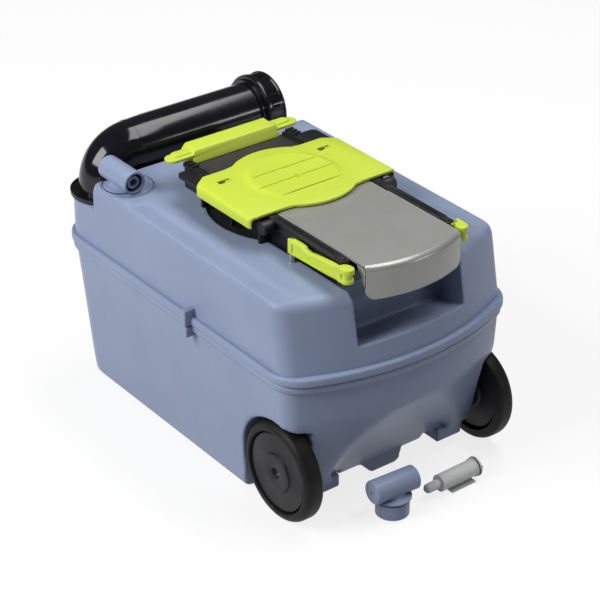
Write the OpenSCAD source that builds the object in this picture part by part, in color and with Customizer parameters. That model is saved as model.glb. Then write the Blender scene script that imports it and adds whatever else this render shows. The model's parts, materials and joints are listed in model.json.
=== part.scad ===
// Wheeled waste holding tank with a swivel pour-out spout, a sliding cover over its inlet
// valve, a pull-out grip, a bayonet vent and two loose spare vent pieces beside it.
// The origin is on the ground under the middle of the tank. +X is the tank's right, +Y its
// spout end and +Z up, so the grip and the wheels are at -Y.

/* [Tank shells] */
// Width over the side walls at the seam
tank_w = 262; // [250:2:280]
// Length of the side walls at the seam
tank_l = 375.2; // [368:0.4:390]
// How far the front wall bows out in the middle
front_bow = 34; // [26:1:40]
// Radius of the front's upright corners at the seam
corner_r = 20; // [18:1:24]
// Height of the seam above the ground
seam_h = 156; // [154:1:162]
// Height of the upper shell above the seam
upper_h = 79; // [76:1:84]
// Wall thickness of both shells
wall = 3; // [2.4:0.2:3.4]
// How far the seam flange stands out of the walls
flange_out = 4.9; // [3:0.1:6]
// Height of the flange on each shell
flange_h = 9; // [7:0.5:11]
// Height of the spout ledge above the seam
ledge_h = 49; // [46:0.5:50]
// Lean of the front wall over the upper shell's height
front_lean = 15; // [12:1:17]
// Slope of the rear wall over the lower shell's height
rear_slope = 14; // [8:1:20]
// Draft of each side wall over the lower shell's height
side_draft = 9; // [6:1:11]

/* [Wheels] */
// Diameter of each wheel over its tyre
wheel_d = 101.6; // [98:0.4:102]
// Width of each wheel
wheel_w = 19.5; // [17:0.5:20]
// Diameter of the groove between tyre and disc
rim_d = 81; // [76:1:84]
// Distance of the axle behind the side walls' front ends
axle_in = 19.6; // [17.6:0.2:21.6]
// Diameter of the axle
axle_d = 8; // [7:0.5:9]
// Gap between wheel and wheel well all round
well_gap = 4.4; // [3.6:0.2:5]

/* [Spout] */
// Outer diameter of the spout's upright leg
leg_d = 51; // [48:0.2:52]
// Outer diameter of the spout's pipe
pipe_d = 59; // [57:0.5:60]
// Wall of the spout
spout_wall = 2.6; // [2:0.2:3]
// Height of the pipe's axis above the ledge
pipe_h = 38.7; // [38:0.1:41]
// Distance of the swivel axis from the left side wall
swivel_side = 33.4; // [32:0.2:36]
// Distance of the swivel axis in front of the rear wall
swivel_in = 29.6; // [28.6:0.2:30.6]
// Reach of the pipe from the swivel axis to its mouth
pipe_reach = 201; // [195:1:204]
// Diameter of the screw cap
cap_d = 73.2; // [72:0.2:74]
// Length of the screw cap
cap_l = 22.9; // [21:0.1:24]
// Diameter of the collar round the swivel
collar_d = 70; // [66:0.5:72]

/* [Inlet mechanism] */
// Diameter of the inlet opening
inlet_d = 90; // [84:1:92]
// Diameter of the mechanism's round base
base_d = 159; // [154:1:162]
// Distance of the inlet in front of the middle
inlet_y = 22; // [20:1:24]
// Height of the slideway above the upper shell's top
slide_h = 28.3; // [27:0.1:30]
// Half width of the slideway's side flanges
flange_half = 84; // [82:0.5:85]
// Distance of the rails' front ends behind the side walls' front ends
rail_in = 1.6; // [0.6:0.2:4.6]
// Thickness of the valve blade
blade_t = 3; // [2:0.2:3.4]

/* [Cover and grip] */
// Thickness of the sliding cover
cover_t = 2.9; // [2.4:0.1:3.2]
// Half width of the sliding cover
cover_half = 87.6; // [87:0.1:90]
// Height of the cover's raised round middle
dome_h = 4; // [2:0.5:5]
// Width of the grip plate
grip_w = 111; // [108:0.5:112]
// Thickness of the grip plate
grip_t = 2.6; // [2:0.2:3]
// Depth of the grip's down-turned lip
lip_h = 33; // [30:1:35]
// Travel of the grip
grip_travel = 75; // [60:1:76]

/* [Vent] */
// Outer diameter of the vent elbow's tube
vent_d = 23.8; // [22:0.2:24.4]
// Length of the vent elbow's tube
vent_l = 49; // [46:0.2:49.4]
// Diameter of the vent elbow's bayonet base
vent_base_d = 33; // [30:0.2:33.4]
// Distance of the vent from the left side wall
vent_side = 21; // [20:0.2:22]
// Distance of the vent tube's closed end in front of the swivel axis
vent_ahead = 27.5; // [27:0.1:29]

/* [Level float] */
// Diameter of the float
float_d = 36; // [30:1:38]
// Length of the float arm
arm_l = 106; // [100:1:108]

/* [Hidden] */

$fn = 64;
hull_fn = 6;
tiny = 0.01;
past = 60;
gap = 0.3;
fit = 0.06;
left = -1;
right = 1;

// Heights above the ground
top_z = seam_h + upper_h;
ledge_z = seam_h + ledge_h;
slide_z = top_z + slide_h;
pipe_z = ledge_z + pipe_h;
base_z = top_z - 7;
trough_z = top_z - 5;
axle_z = wheel_d / 2;

// Plan positions
half_w = tank_w / 2;
half_l = tank_l / 2;
rail_front = half_l - rail_in;
axle_y = half_l - axle_in;
swivel_x = half_w - swivel_side;
swivel_y = half_l - swivel_in;
vent_x = half_w - vent_side;
vent_y = swivel_y - vent_ahead - vent_l / 2;
ledge_ahead = 30;
ledge_wall_y = swivel_y - ledge_ahead;
recess_half = 63;
recess_in = 15.6;
recess_back_y = recess_in - half_l;
recess_floor_back = 20;
recess_floor_rise = 0.22;
well_r = wheel_d / 2 + well_gap;
wheel_outer_x = half_w - 3;
wheel_inner_x = wheel_outer_x - wheel_w;
well_x = wheel_inner_x - 2;

// Colours
tank_blue = [0.56, 0.62, 0.75];
lime = [0.80, 0.92, 0.20];
black = [0.05, 0.05, 0.06];
dark_grey = [0.20, 0.20, 0.22];
silver = [0.62, 0.62, 0.60];
steel = [0.72, 0.73, 0.75];
rubber = [0.03, 0.03, 0.03];
pale_grey = [0.74, 0.75, 0.74];
foam = [0.85, 0.83, 0.78];

// ---------- Outline of the tank in plan ----------
function bow_radius(hw, bow) = (hw * hw + bow * bow) / (2 * bow);
function arc_points(cx, cy, r, a, b, n) =
    [for (i = [0:n]) [cx + r * cos(a + (b - a) * i / n), cy + r * sin(a + (b - a) * i / n)]];
function tank_outline(hw, yf, yb, bow, r, rb) =
    let (
        big = bow_radius(hw, bow),
        yc = yf - bow + big,
        xc = hw - r,
        yfil = yc - sqrt(pow(big - r, 2) - xc * xc),
        tangent = atan2(yfil - yc, xc)
    )
    concat(
        arc_points(hw - rb, yb - rb, rb, 0, 90, hull_fn),
        arc_points(rb - hw, yb - rb, rb, 90, 180, hull_fn),
        arc_points(-xc, yfil, r, 180, 180 - tangent, hull_fn),
        arc_points(0, yc, big, 180 - tangent, 360 + tangent, 2 * hull_fn),
        arc_points(xc, yfil, r, 360 + tangent, 360, hull_fn)
    );

// How much rounder the rear's upright corners are
rear_round = 12;
// One level of a shell: the seam's outline drawn in by side, front and rear amounts
module level(z, side, front, rear, r, bow = front_bow) {
    translate([0, 0, z])
        linear_extrude(tiny)
            polygon(tank_outline(half_w - side, front - half_l, half_l - rear, bow, r, r + rear_round));
}

// The upper shell's full form, drawn in by t for its inside
module upper_form(t) {
    lean = front_lean / upper_h;
    hull() {
        level(seam_h - (t > 0 ? tiny : 0), t, t, t, corner_r - t);
        level(seam_h + upper_h - 11 - t, t + 0.4, t + lean * (upper_h - 11), t + 0.4, corner_r - t);
        level(seam_h + upper_h - 4.5 - t, t + 1.4, t + 1 + lean * (upper_h - 4), t + 1.4,
            corner_r - 1 - t);
        level(seam_h + upper_h - 1.4 - t, t + 3.2, t + 3 + lean * upper_h, t + 3.2, corner_r - 2 - t);
        level(seam_h + upper_h - t - tiny, t + 7, t + 7 + lean * upper_h, t + 7, corner_r - 5 - t);
    }
}

// The lower shell's full form, drawn in by t for its inside. Its front is upright down to
// shoulder_z and slopes in below it, like a boat's.
shoulder_z = 111;
front_foot_z = 26;
front_foot_in = 4.6;
flat_bow = 7;
module lower_form(t) {
    foot = 1 - front_foot_z / seam_h;
    hull() {
        level(seam_h - (t > 0 ? 0 : tiny), t, t, t, corner_r - t);
        level(shoulder_z, t + side_draft * (1 - shoulder_z / seam_h), t + 0.6,
            t + rear_slope * (1 - shoulder_z / seam_h), corner_r - t);
        level(front_foot_z, t + side_draft * foot, t + front_foot_in,
            t + rear_slope * foot, corner_r - 2 - t, flat_bow);
        level(9 + t, t + side_draft, t + 8, t + rear_slope, corner_r - 2 - t, flat_bow);
        level(3 + t, t + side_draft + 2.6, t + 11, t + rear_slope + 2.6, corner_r - 4 - t, flat_bow);
        level(t, t + side_draft + 9, t + 16, t + rear_slope + 9, corner_r - 8 - t, flat_bow);
    }
}

// Half of the seam flange
flange_corner = 15;
module flange_half_band(z) {
    translate([0, 0, z])
        linear_extrude(flange_h)
            polygon(tank_outline(half_w + flange_out, -half_l - flange_out, half_l + flange_out,
                front_bow, corner_r + flange_corner, corner_r + flange_corner + 4));
}

// ---------- Pockets in the upper shell, grown by t for their inner walls ----------
module ledge_pocket(t) {
    translate([-half_w - past, ledge_wall_y - t, ledge_z - t])
        cube([2 * (half_w + past), half_l, upper_h + past]);
    translate([-swivel_x, swivel_y, ledge_z - t])
        cylinder(r = collar_d / 2 + 1 + t, h = upper_h + past);
    translate([pipe_reach - swivel_x - cap_l - 2 - t, swivel_y, pipe_z])
        rotate([0, 90, 0])
            cylinder(r = cap_d / 2 + 1 + t, h = half_w + past);
}

module mechanism_pocket(t) {
    translate([0, -inlet_y, base_z - t])
        cylinder(r = base_d / 2 + 0.7 + t, h = upper_h);
    translate([-recess_half - t, -half_l - front_bow, trough_z - t])
        cube([2 * (recess_half + t), half_l + front_bow - inlet_y, upper_h]);
}

module grip_recess(t) {
    translate([-recess_half - t, 0, 0])
        rotate([90, 0, 90])
            linear_extrude(2 * (recess_half + t))
                polygon([
                    [recess_back_y + t, seam_h + recess_floor_back - t],
                    [recess_back_y + t, top_z + past],
                    [-half_l - past - front_bow, top_z + past],
                    [-half_l - past - front_bow,
                        seam_h + recess_floor_back - t
                        + recess_floor_rise * (half_l + past + front_bow + recess_back_y)]
                ]);
}

vent_seat_x = -vent_x + 5.5;
vent_seat_y = vent_y - 2.5;
vent_seat_r = 27;
vent_hole_r = vent_base_d / 2 + fit;
vent_base_l = 18;
vent_flange_r = 18.4;
vent_flange_t = 2;
vent_axis_up = 30.5;
vent_sink = 0.3;
vent_low_z = top_z - vent_base_l - vent_sink;

module upper_shell() {
    color(tank_blue)
    difference() {
        union() {
            difference() {
                union() {
                    upper_form(0);
                    vent_seat();
                }
                ledge_pocket(0);
                mechanism_pocket(0);
                grip_recess(0);
                difference() {
                    upper_form(wall);
                    ledge_pocket(wall);
                    mechanism_pocket(wall);
                    grip_recess(wall);
                }
            }
            difference() {
                flange_half_band(seam_h);
                upper_form(wall);
            }
            side_bosses(seam_h, boss_up);
            intersection() {
                upper_form(0);
                shell_sockets();
            }
        }
        // Inlet, swivel and vent holes
        translate([0, -inlet_y, base_z - past / 2])
            cylinder(r = neck_r + gap, h = past);
        for (a = [0:90:270])
            translate([0, -inlet_y, base_z - past / 2])
                rotate(a + 45 - 2)
                    rotate_extrude(angle = lug_arc + 4)
                        translate([neck_r - 1, 0])
                            square([lug_r - neck_r + 1 + gap, past]);
        translate([-swivel_x, swivel_y, ledge_z - past])
            cylinder(r = leg_d / 2 + fit, h = 2 * past);
        translate([-vent_x, vent_y, top_z - past])
            cylinder(r = vent_hole_r, h = 2 * past);
        translate([-vent_x, vent_y, top_z - vent_sink - gap])
            cylinder(r = vent_flange_r + gap, h = past);
        // Groove round the vent's seat
        translate([vent_seat_x, vent_seat_y, top_z - 1.2])
            difference() {
                cylinder(r = vent_seat_r - 0.4, h = past);
                cylinder(r = vent_seat_r - 1.8, h = past);
            }
    }
}

// Round seat that fills the rounded edge under the vent
module vent_seat() {
    intersection() {
        translate([vent_seat_x, vent_seat_y, top_z - 14])
            cylinder(r = vent_seat_r, h = 14);
        translate([-half_w + 1.2, vent_seat_y - 2 * vent_seat_r, 0])
            cube([half_w, 4 * vent_seat_r, top_z]);
    }
}

// Sockets under the swivel and the vent
socket_depth = 20;
module shell_sockets() {
    translate([-swivel_x, swivel_y, ledge_z - socket_depth])
        cylinder(r = leg_d / 2 + wall, h = socket_depth - tiny);
    translate([-vent_x, vent_y, top_z - socket_depth])
        cylinder(r = vent_hole_r + wall, h = socket_depth - 1);
    translate([vent_seat_x, vent_seat_y, top_z - 8])
        cylinder(r = vent_seat_r - 1, h = 6);
}

// ---------- Lower shell ----------
// The underside steps up in front of the flat bottom
step_y = -112;
hull_half = 52;
hull_flare = 24;
hull_top_z = seam_h - 58;
hull_low_z = 16;
hull_low_y = -161;
module underside(t) {
    // Raised underside outside and inside the middle hull
    translate([-half_w, -half_l - past, -past])
        cube([2 * half_w, half_l + past + step_y + t, past + hull_low_z + t]);
    for (side = [left, right])
        translate([side > 0 ? hull_half - t : -half_w, -half_l - past, -past])
            cube([half_w - hull_half + t, half_l + past + step_y + t - 20, past + front_foot_z + t]);
    front_slope(t);
}

// Middle of the front, sloping in more than its sides and wider towards its foot
module front_slope(t) {
    intersection() {
        translate([-half_w, 0, 0])
            rotate([90, 0, 90])
                linear_extrude(2 * half_w)
                    polygon([
                        [-half_l - front_bow + 4 + t, hull_top_z + 8],
                        [hull_low_y + t, hull_low_z],
                        [hull_low_y + t, -past],
                        [-half_l - past, -past],
                        [-half_l - past, hull_top_z + 8]
                    ]);
        rotate([90, 0, 0])
            linear_extrude(half_l + past)
                polygon([
                    [-hull_half - t, hull_top_z + 9],
                    [-hull_half - hull_flare - t, hull_low_z],
                    [-hull_half - hull_flare - t, -past],
                    [hull_half + hull_flare + t, -past],
                    [hull_half + hull_flare + t, hull_low_z],
                    [hull_half + t, hull_top_z + 9]
                ]);
    }
}

module wheel_well(side, t) {
    x0 = side > 0 ? well_x - t : -well_x + t - past;
    translate([side * (well_x - t), -axle_y, axle_z])
        rotate([0, side * 90, 0])
            cylinder(r = well_r + t, h = past);
    // Open to the front and to the ground
    translate([x0, -axle_y - past, -past])
        cube([past, past, past + axle_z + well_r + t]);
    translate([x0, -axle_y - past, -past])
        cube([past, past + well_r + t, past + axle_z]);
}

// Three hollow feet under the front
mid_foot_z = 4.5;
side_foot_z = 15;
foot_in = 61;
foot_out = 92;
foot_front = -181;
foot_l = 40;
mid_foot_l = 36;
module feet(t) {
    difference() {
        union() {
            // Middle foot, flaring up into the hull
            rotate([90, 0, 0])
                translate([0, 0, -foot_front - foot_l - 11 + t])
                    linear_extrude(mid_foot_l - 2 * t)
                        polygon([
                            [-14 + t, mid_foot_z + t],
                            [14 - t, mid_foot_z + t],
                            [26 - t, hull_low_z + wall + 0.5 + t],
                            [-26 + t, hull_low_z + wall + 0.5 + t]
                        ]);
            for (side = [left, right])
                translate([side > 0 ? foot_in + t : -foot_out + t, foot_front + t, side_foot_z + t])
                    cube([foot_out - foot_in - 2 * t, foot_l - 2 * t, front_foot_z + wall - side_foot_z]);
        }
        // The hollow of a foot stays behind the wall of the slope
        if (t > 0)
            front_slope(t);
    }
}

module lower_shell() {
    color(tank_blue)
    difference() {
        union() {
            difference() {
                union() {
                    difference() {
                        lower_form(0);
                        underside(0);
                        wheel_well(left, 0);
                        wheel_well(right, 0);
                    }
                    feet(0);
                }
                difference() {
                    lower_form(wall);
                    underside(wall);
                    wheel_well(left, wall);
                    wheel_well(right, wall);
                }
                feet(wall);
            }
            difference() {
                translate([0, 0, -flange_h])
                    flange_half_band(seam_h);
                lower_form(wall);
            }
            // Tunnel that carries the axle across the tank
            translate([-wheel_inner_x + gap, -axle_y, axle_z])
                rotate([0, 90, 0])
                    cylinder(r = axle_d / 2 + wall + 1, h = 2 * (wheel_inner_x - gap));
        }
        translate([-half_w, -axle_y, axle_z])
            rotate([0, 90, 0])
                cylinder(d = axle_d + fit, h = 2 * half_w);
    }
}

// Locating bosses on both sides, above the flange
boss_out = 7.6;
boss_up = 18;
boss_y = -47.4;
boss_w = 8;
module side_bosses(z, h) {
    for (side = [left, right])
        translate([side > 0 ? half_w - 1.5 : -half_w - flange_out - boss_out, boss_y, z])
            cube([flange_out + boss_out + 1.5, boss_w, h]);
}

// ---------- Axle and wheels ----------
hub_face = 1;
hub_pit = 4;
clip_t = 0.8;
clip_r = axle_d / 2 + 1.6;
axle_end_x = wheel_outer_x - hub_face - 1.5;
module axle() {
    color(steel)
    translate([-axle_end_x, -axle_y, axle_z])
        rotate([0, 90, 0])
            cylinder(d = axle_d, h = 2 * axle_end_x);
}

// Push-on clips in the hubs that keep the wheels on the axle
module axle_clips() {
    color(steel)
    for (side = [left, right])
        translate([side * (wheel_outer_x - hub_face - hub_pit + gap), -axle_y, axle_z])
            rotate([0, side * 90, 0])
                difference() {
                    cylinder(r = clip_r, h = clip_t);
                    translate([0, 0, -tiny])
                        cylinder(d = axle_d + tiny, h = 2 * clip_t);
                }
}

hub_r = 18;
disc_face = 2;
web_in = 5;
// Half section of the disc, from the inner face out
module disc_profile() {
    polygon([
        [axle_d / 2 + fit, 0],
        [hub_r - 4, 0],
        [hub_r - 4, web_in],
        [rim_d / 2 - 4, web_in],
        [rim_d / 2 - 4, 2],
        [rim_d / 2, 2],
        [rim_d / 2, wheel_w - disc_face - 1.4],
        [rim_d / 2 - 1.6, wheel_w - disc_face - 1.4],
        [rim_d / 2 - 1.6, wheel_w - disc_face],
        [hub_r + 1, wheel_w - disc_face],
        [hub_r + 1, wheel_w - disc_face - 1],
        [hub_r, wheel_w - disc_face - 1],
        [hub_r, wheel_w - hub_face - 0.5],
        [hub_r - 0.5, wheel_w - hub_face],
        [clip_r + gap, wheel_w - hub_face],
        [clip_r + gap, wheel_w - hub_face - hub_pit],
        [axle_d / 2 + fit, wheel_w - hub_face - hub_pit]
    ]);
}

module tyre_profile() {
    shoulder = 4.4;
    polygon(concat(
        [[rim_d / 2, 3], [rim_d / 2 + 1, 0.5]],
        [for (a = [0:15:90])
            [wheel_d / 2 - shoulder + shoulder * sin(a), shoulder - shoulder * cos(a)]],
        [for (a = [0:15:90])
            [wheel_d / 2 - shoulder + shoulder * cos(a), wheel_w - shoulder + shoulder * sin(a)]],
        [[rim_d / 2 + 1.2, wheel_w], [rim_d / 2, wheel_w - 2]]
    ));
}

module wheel_place(side) {
    translate([side * wheel_inner_x, -axle_y, axle_z])
        rotate([0, side * 90, 0])
            rotate_extrude($fn = 96)
                children();
}

module wheel_disc(side) { color(dark_grey) wheel_place(side) disc_profile(); }
module tyre(side) { color(dark_grey) wheel_place(side) tyre_profile(); }

// ---------- Inlet mechanism ----------
plate_t = 4;
side_in = 57;
side_out = 62;
seal_t = 1.7;
blade_gap = 0.3;
blade_z = base_z + plate_t + seal_t + blade_gap;
flange_t = 3;
rail_foot_z = slide_z - flange_t;
groove_z = slide_z - 6.3;
groove_h = 2.6;
deck_back = 66;
deck_drop = 5.3;
deck_front = -12;
deck_z = slide_z - deck_drop;
deck_t = 2.6;
inlet_r = inlet_d / 2;

wall_break_y = 20;
rail_w = 9;
rail_x = side_in + gap;
neck_r = inlet_d / 2 + 3;
lug_r = neck_r + 3;
lug_h = 3;
lug_arc = 24;
cover_front = 77;
block_out = 79;
block_r = 6.4;
block_in = rail_x + rail_w + gap;
flange_back_y = 48;
flange_front_y = -74;
block_y = flange_front_y - block_r - 2;
module mechanism_frame() {
    rear_z = top_z + gap;
    color(black)
    difference() {
        union() {
            // Round base in the shell's recess and the tray in front of it
            translate([0, -inlet_y, base_z])
                cylinder(d = base_d, h = plate_t);
            translate([-side_out, -rail_front, trough_z])
                cube([2 * side_out, rail_front - inlet_y, base_z + plate_t - trough_z]);
            // Side walls, with their feet above the shell behind the base
            for (side = [left, right]) {
                x0 = side > 0 ? side_in : -side_out;
                translate([x0, -rail_front, base_z + plate_t - tiny])
                    cube([side_out - side_in, rail_front + wall_break_y,
                        rail_foot_z - base_z - plate_t + tiny]);
                translate([x0, wall_break_y - tiny, rear_z])
                    cube([side_out - side_in, deck_back - wall_break_y + tiny, rail_foot_z - rear_z]);
            }
            // Side flanges that carry the cover, outside the rails
            for (side = [left, right])
                translate([0, 0, rail_foot_z - tiny])
                    linear_extrude(flange_t + tiny)
                        flange_plan(side);
            // Ribs between base and flanges
            for (side = [left, right], y = [flange_front_y + 1.5, -inlet_y - 6, 20])
                translate([side > 0 ? side_out - tiny : -flange_half + 10, y - 1.5, rear_z])
                    cube([flange_half - 10 - side_out + tiny, 3, rail_foot_z - rear_z]);
            // Cross walls at the front and under the deck
            translate([-side_in - tiny, -rail_front, base_z + plate_t - tiny])
                cube([2 * side_in + 2 * tiny, 3, 17]);
            translate([-side_in - tiny, deck_back - 3, rear_z])
                cube([2 * side_in + 2 * tiny, 3, deck_z - deck_t - rear_z]);
            // Rounded blocks in front of the flanges, and the webs under the rails that carry them
            for (side = [left, right]) {
                translate([side > 0 ? block_in : -block_out, block_y, slide_z - block_r - 0.4])
                    rotate([0, 90, 0])
                        cylinder(r = block_r, h = block_out - block_in);
                translate([side > 0 ? side_out - tiny : -block_in - 1, block_y - 4, rail_foot_z - gap - 8])
                    cube([block_in + 1 - side_out + tiny, 8, 8]);
            }
            // Rear tray under the deck
            translate([-side_out, track_back_y + 1, rear_z])
                cube([2 * side_out, deck_back - track_back_y - 1, 2]);
            // Neck through the inlet and its bayonet lugs under the shell
            translate([0, -inlet_y, base_z - wall - gap - lug_h])
                cylinder(r = neck_r, h = wall + gap + lug_h + tiny);
            translate([0, -inlet_y, base_z - wall - gap - lug_h])
                for (a = [0:90:270])
                    rotate(a)
                        rotate_extrude(angle = lug_arc)
                            translate([neck_r - 1, 0])
                                square([lug_r - neck_r + 1, lug_h]);
        }
        translate([0, -inlet_y, base_z - past / 2])
            cylinder(d = inlet_d, h = past);
        // Grooves for the grip's tongues
        for (side = [left, right])
            translate([side > 0 ? side_in - tiny : -side_in - 2.4 + tiny,
                    -grip_notch - grip_travel - gap, groove_z])
                cube([2.4, grip_notch + grip_travel + gap - 70, groove_h]);
    }
}

// One side flange, with rounded outer corners
module flange_plan(side) {
    r = 6;
    x_in = rail_x + rail_w + gap;
    x0 = side > 0 ? x_in : -flange_half;
    union() {
        translate([x0, flange_front_y])
            square([flange_half - x_in, flange_back_y - flange_front_y - r]);
        translate([side > 0 ? x_in : -flange_half + r, flange_back_y - r - 1])
            square([flange_half - x_in - r, r + 1]);
        translate([side * (flange_half - r), flange_back_y - r])
            circle(r = r);
    }
}

seal_in = inlet_d / 2 + 1;
seal_out = seal_in + 5.6;
module lip_seal() {
    color(rubber)
    translate([0, -inlet_y, base_z + plate_t])
        difference() {
            cylinder(r = seal_out, h = seal_t);
            translate([0, 0, -tiny])
                cylinder(r = seal_in, h = seal_t + 1);
        }
}

module seal_retainer() {
    color(pale_grey)
    translate([0, -inlet_y, base_z + plate_t])
        difference() {
            cylinder(r = seal_out + 3, h = seal_t - 0.2);
            translate([0, 0, -tiny])
                cylinder(r = seal_out, h = seal_t + 1);
        }
}

blade_half = seal_out + 1;
module valve_blade() {
    color(pale_grey)
    translate([0, 0, blade_z])
        linear_extrude(blade_t)
            difference() {
                translate([-blade_half, -inlet_y - seal_out - 2])
                    square([2 * blade_half, 2 * seal_out + 4]);
                for (side = [left, right])
                    translate([side * blade_half, -inlet_y - seal_out - 2])
                        rotate(45)
                            square(16, center = true);
            }
}

// Channels that the blade's edges run in
track_in = 2.5;
track_back_y = 33;
module blade_track(side) {
    low = base_z + plate_t;
    high = blade_z + blade_t + blade_gap + 1.6;
    color(dark_grey)
    difference() {
        translate([side > 0 ? blade_half - track_in : -side_in, -rail_front + 3 + gap, low])
            cube([side_in - blade_half + track_in, rail_front - 3 - gap + track_back_y, high - low]);
        translate([side > 0 ? blade_half - track_in - tiny : -blade_half - gap,
                -rail_front, blade_z - blade_gap])
            cube([track_in + tiny + gap, rail_front + deck_back, blade_t + 2 * blade_gap]);
        translate([0, -inlet_y, low - tiny])
            cylinder(r = seal_out + 3 + gap, h = seal_t + 2 * tiny);
    }
}

module rear_deck() {
    color(dark_grey)
    translate([0, 0, deck_z - deck_t])
        linear_extrude(deck_t)
            difference() {
                translate([-side_in, deck_front])
                    square([2 * side_in, deck_back - deck_front]);
                translate([0, -inlet_y])
                    circle(r = inlet_r + 1.5);
            }
}

bar_half = 52;
bar_front = 64.5;
bar_back = 86;
bar_rise = 7.1;
bar_top = slide_z + bar_rise;
bar_edge = 0.8;
bar_crown = 2;
bar_skirt = 4;
bar_wall = 3;
ear_half = 79;
ear_r = 8;
ear_y = 73;
ear_t = 3.2;
module rear_bar() {
    color(lime)
    union() {
        // Hand bar, hollow below
        difference() {
            translate([-bar_half, 0, 0])
                rotate([90, 0, 90])
                    linear_extrude(2 * bar_half)
                        polygon([
                            [bar_front, deck_z],
                            [bar_front, bar_top - bar_edge],
                            [bar_front + bar_edge, bar_top],
                            [bar_back - bar_crown - 0.5, bar_top + bar_crown],
                            [bar_back, bar_top],
                            [bar_back, deck_z - bar_skirt],
                            [deck_back + gap, deck_z - bar_skirt],
                            [deck_back + gap, deck_z]
                        ]);
            translate([-bar_half + bar_wall, deck_back + bar_wall, deck_z - bar_skirt - tiny])
                cube([2 * (bar_half - bar_wall), bar_back - deck_back - 2 * bar_wall,
                    bar_top - deck_z + bar_skirt - 2.5]);
        }
        // Ears over the rails' rear ends
        for (side = [left, right]) {
            translate([side * (ear_half - ear_r), ear_y, slide_z + gap])
                cylinder(r = ear_r, h = ear_t);
            translate([side > 0 ? bar_half - tiny : -ear_half + ear_r, ear_y - ear_r, slide_z + gap])
                cube([ear_half - ear_r - bar_half + tiny, 2 * ear_r, ear_t]);
        }
    }
}

// Grooved rails along the side walls
rail_back_y = 62;
rail_base_t = 1.4;
rail_rib = 1.8;
module rail(side) {
    x0 = side > 0 ? rail_x : -rail_x - rail_w;
    rail_l = rail_front + rail_back_y;
    color(dark_grey)
    union() {
        translate([x0, -rail_front, rail_foot_z])
            cube([rail_w, rail_l, rail_base_t]);
        for (rib = [0, 1, 2])
            translate([x0 + rib * (rail_w - rail_rib) / 2, -rail_front, rail_foot_z + rail_base_t - tiny])
                cube([rail_rib, rail_l, flange_t - rail_base_t + tiny]);
    }
}

// ---------- Sliding cover ----------
cover_gap = 0.5;
cover_z = slide_z + cover_gap;
cover_rear = 21;
dome_r = 42;
cover_mid_y = (cover_rear - cover_front) / 2;
skirt_h = 8;
skirt_t = 2.6;
lobe_r = 62;
rear_cut = [16, 12];
slot_x = 60;
slot = [15, 5];
module cover_plan() {
    difference() {
        union() {
            translate([-cover_half, -cover_front])
                square([2 * cover_half, cover_front + cover_rear - rear_cut[1]]);
            polygon([
                [-cover_half, cover_rear - rear_cut[1] - 0.1],
                [cover_half, cover_rear - rear_cut[1] - 0.1],
                [cover_half - rear_cut[0], cover_rear],
                [-cover_half + rear_cut[0], cover_rear]
            ]);
            intersection() {
                translate([0, cover_mid_y])
                    circle(r = lobe_r, $fn = 128);
                translate([-dome_r + 4, cover_mid_y - lobe_r])
                    square([2 * dome_r - 8, 2 * lobe_r]);
            }
        }
        for (side = [left, right])
            translate([side * slot_x - slot[0] / 2, -1])
                square(slot);
    }
}

module sliding_cover() {
    color(lime)
    difference() {
        union() {
            translate([0, 0, cover_z])
                linear_extrude(cover_t)
                    cover_plan();
            // Raised round middle
            translate([0, cover_mid_y, cover_z + cover_t - tiny])
                cylinder(r1 = dome_r + 8, r2 = dome_r, h = dome_h * 0.8);
            // Side skirts
            for (side = [left, right])
                translate([side > 0 ? cover_half - skirt_t : -cover_half, -cover_front, cover_z - skirt_h])
                    cube([skirt_t, cover_front + cover_rear - rear_cut[1], skirt_h + tiny]);
        }
        // Hollow under the raised middle
        translate([0, cover_mid_y, cover_z - tiny])
            cylinder(r1 = dome_r + 6, r2 = dome_r - 3, h = dome_h * 0.8);
        // Moulded lines across the middle
        for (line = [[-13, 37], [-34, 45], [-57, 34]])
            translate([-line[1], line[0] - 0.6, cover_z + cover_t + dome_h * 0.8 - 0.6])
                cube([2 * line[1], 1.2, 2]);
    }
}

// ---------- Pull-out grip ----------
grip_top = slide_z - 0.2;
grip_back = 71;
grip_notch = 103.7;
lip_front = 221;
lip_bow = 12;
lip_t = 2.6;
lip_half = grip_w / 2;
tongue = 1.9;
// The front edge bows out like the tank's front
module grip_edge_plan(inset, half = lip_half) {
    big = bow_radius(lip_half, lip_bow);
    intersection() {
        translate([0, -lip_front + big])
            circle(r = big - inset, $fn = 256);
        translate([-half, -lip_front - 1])
            square([2 * half, lip_front - grip_back + 1]);
    }
}

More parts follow.
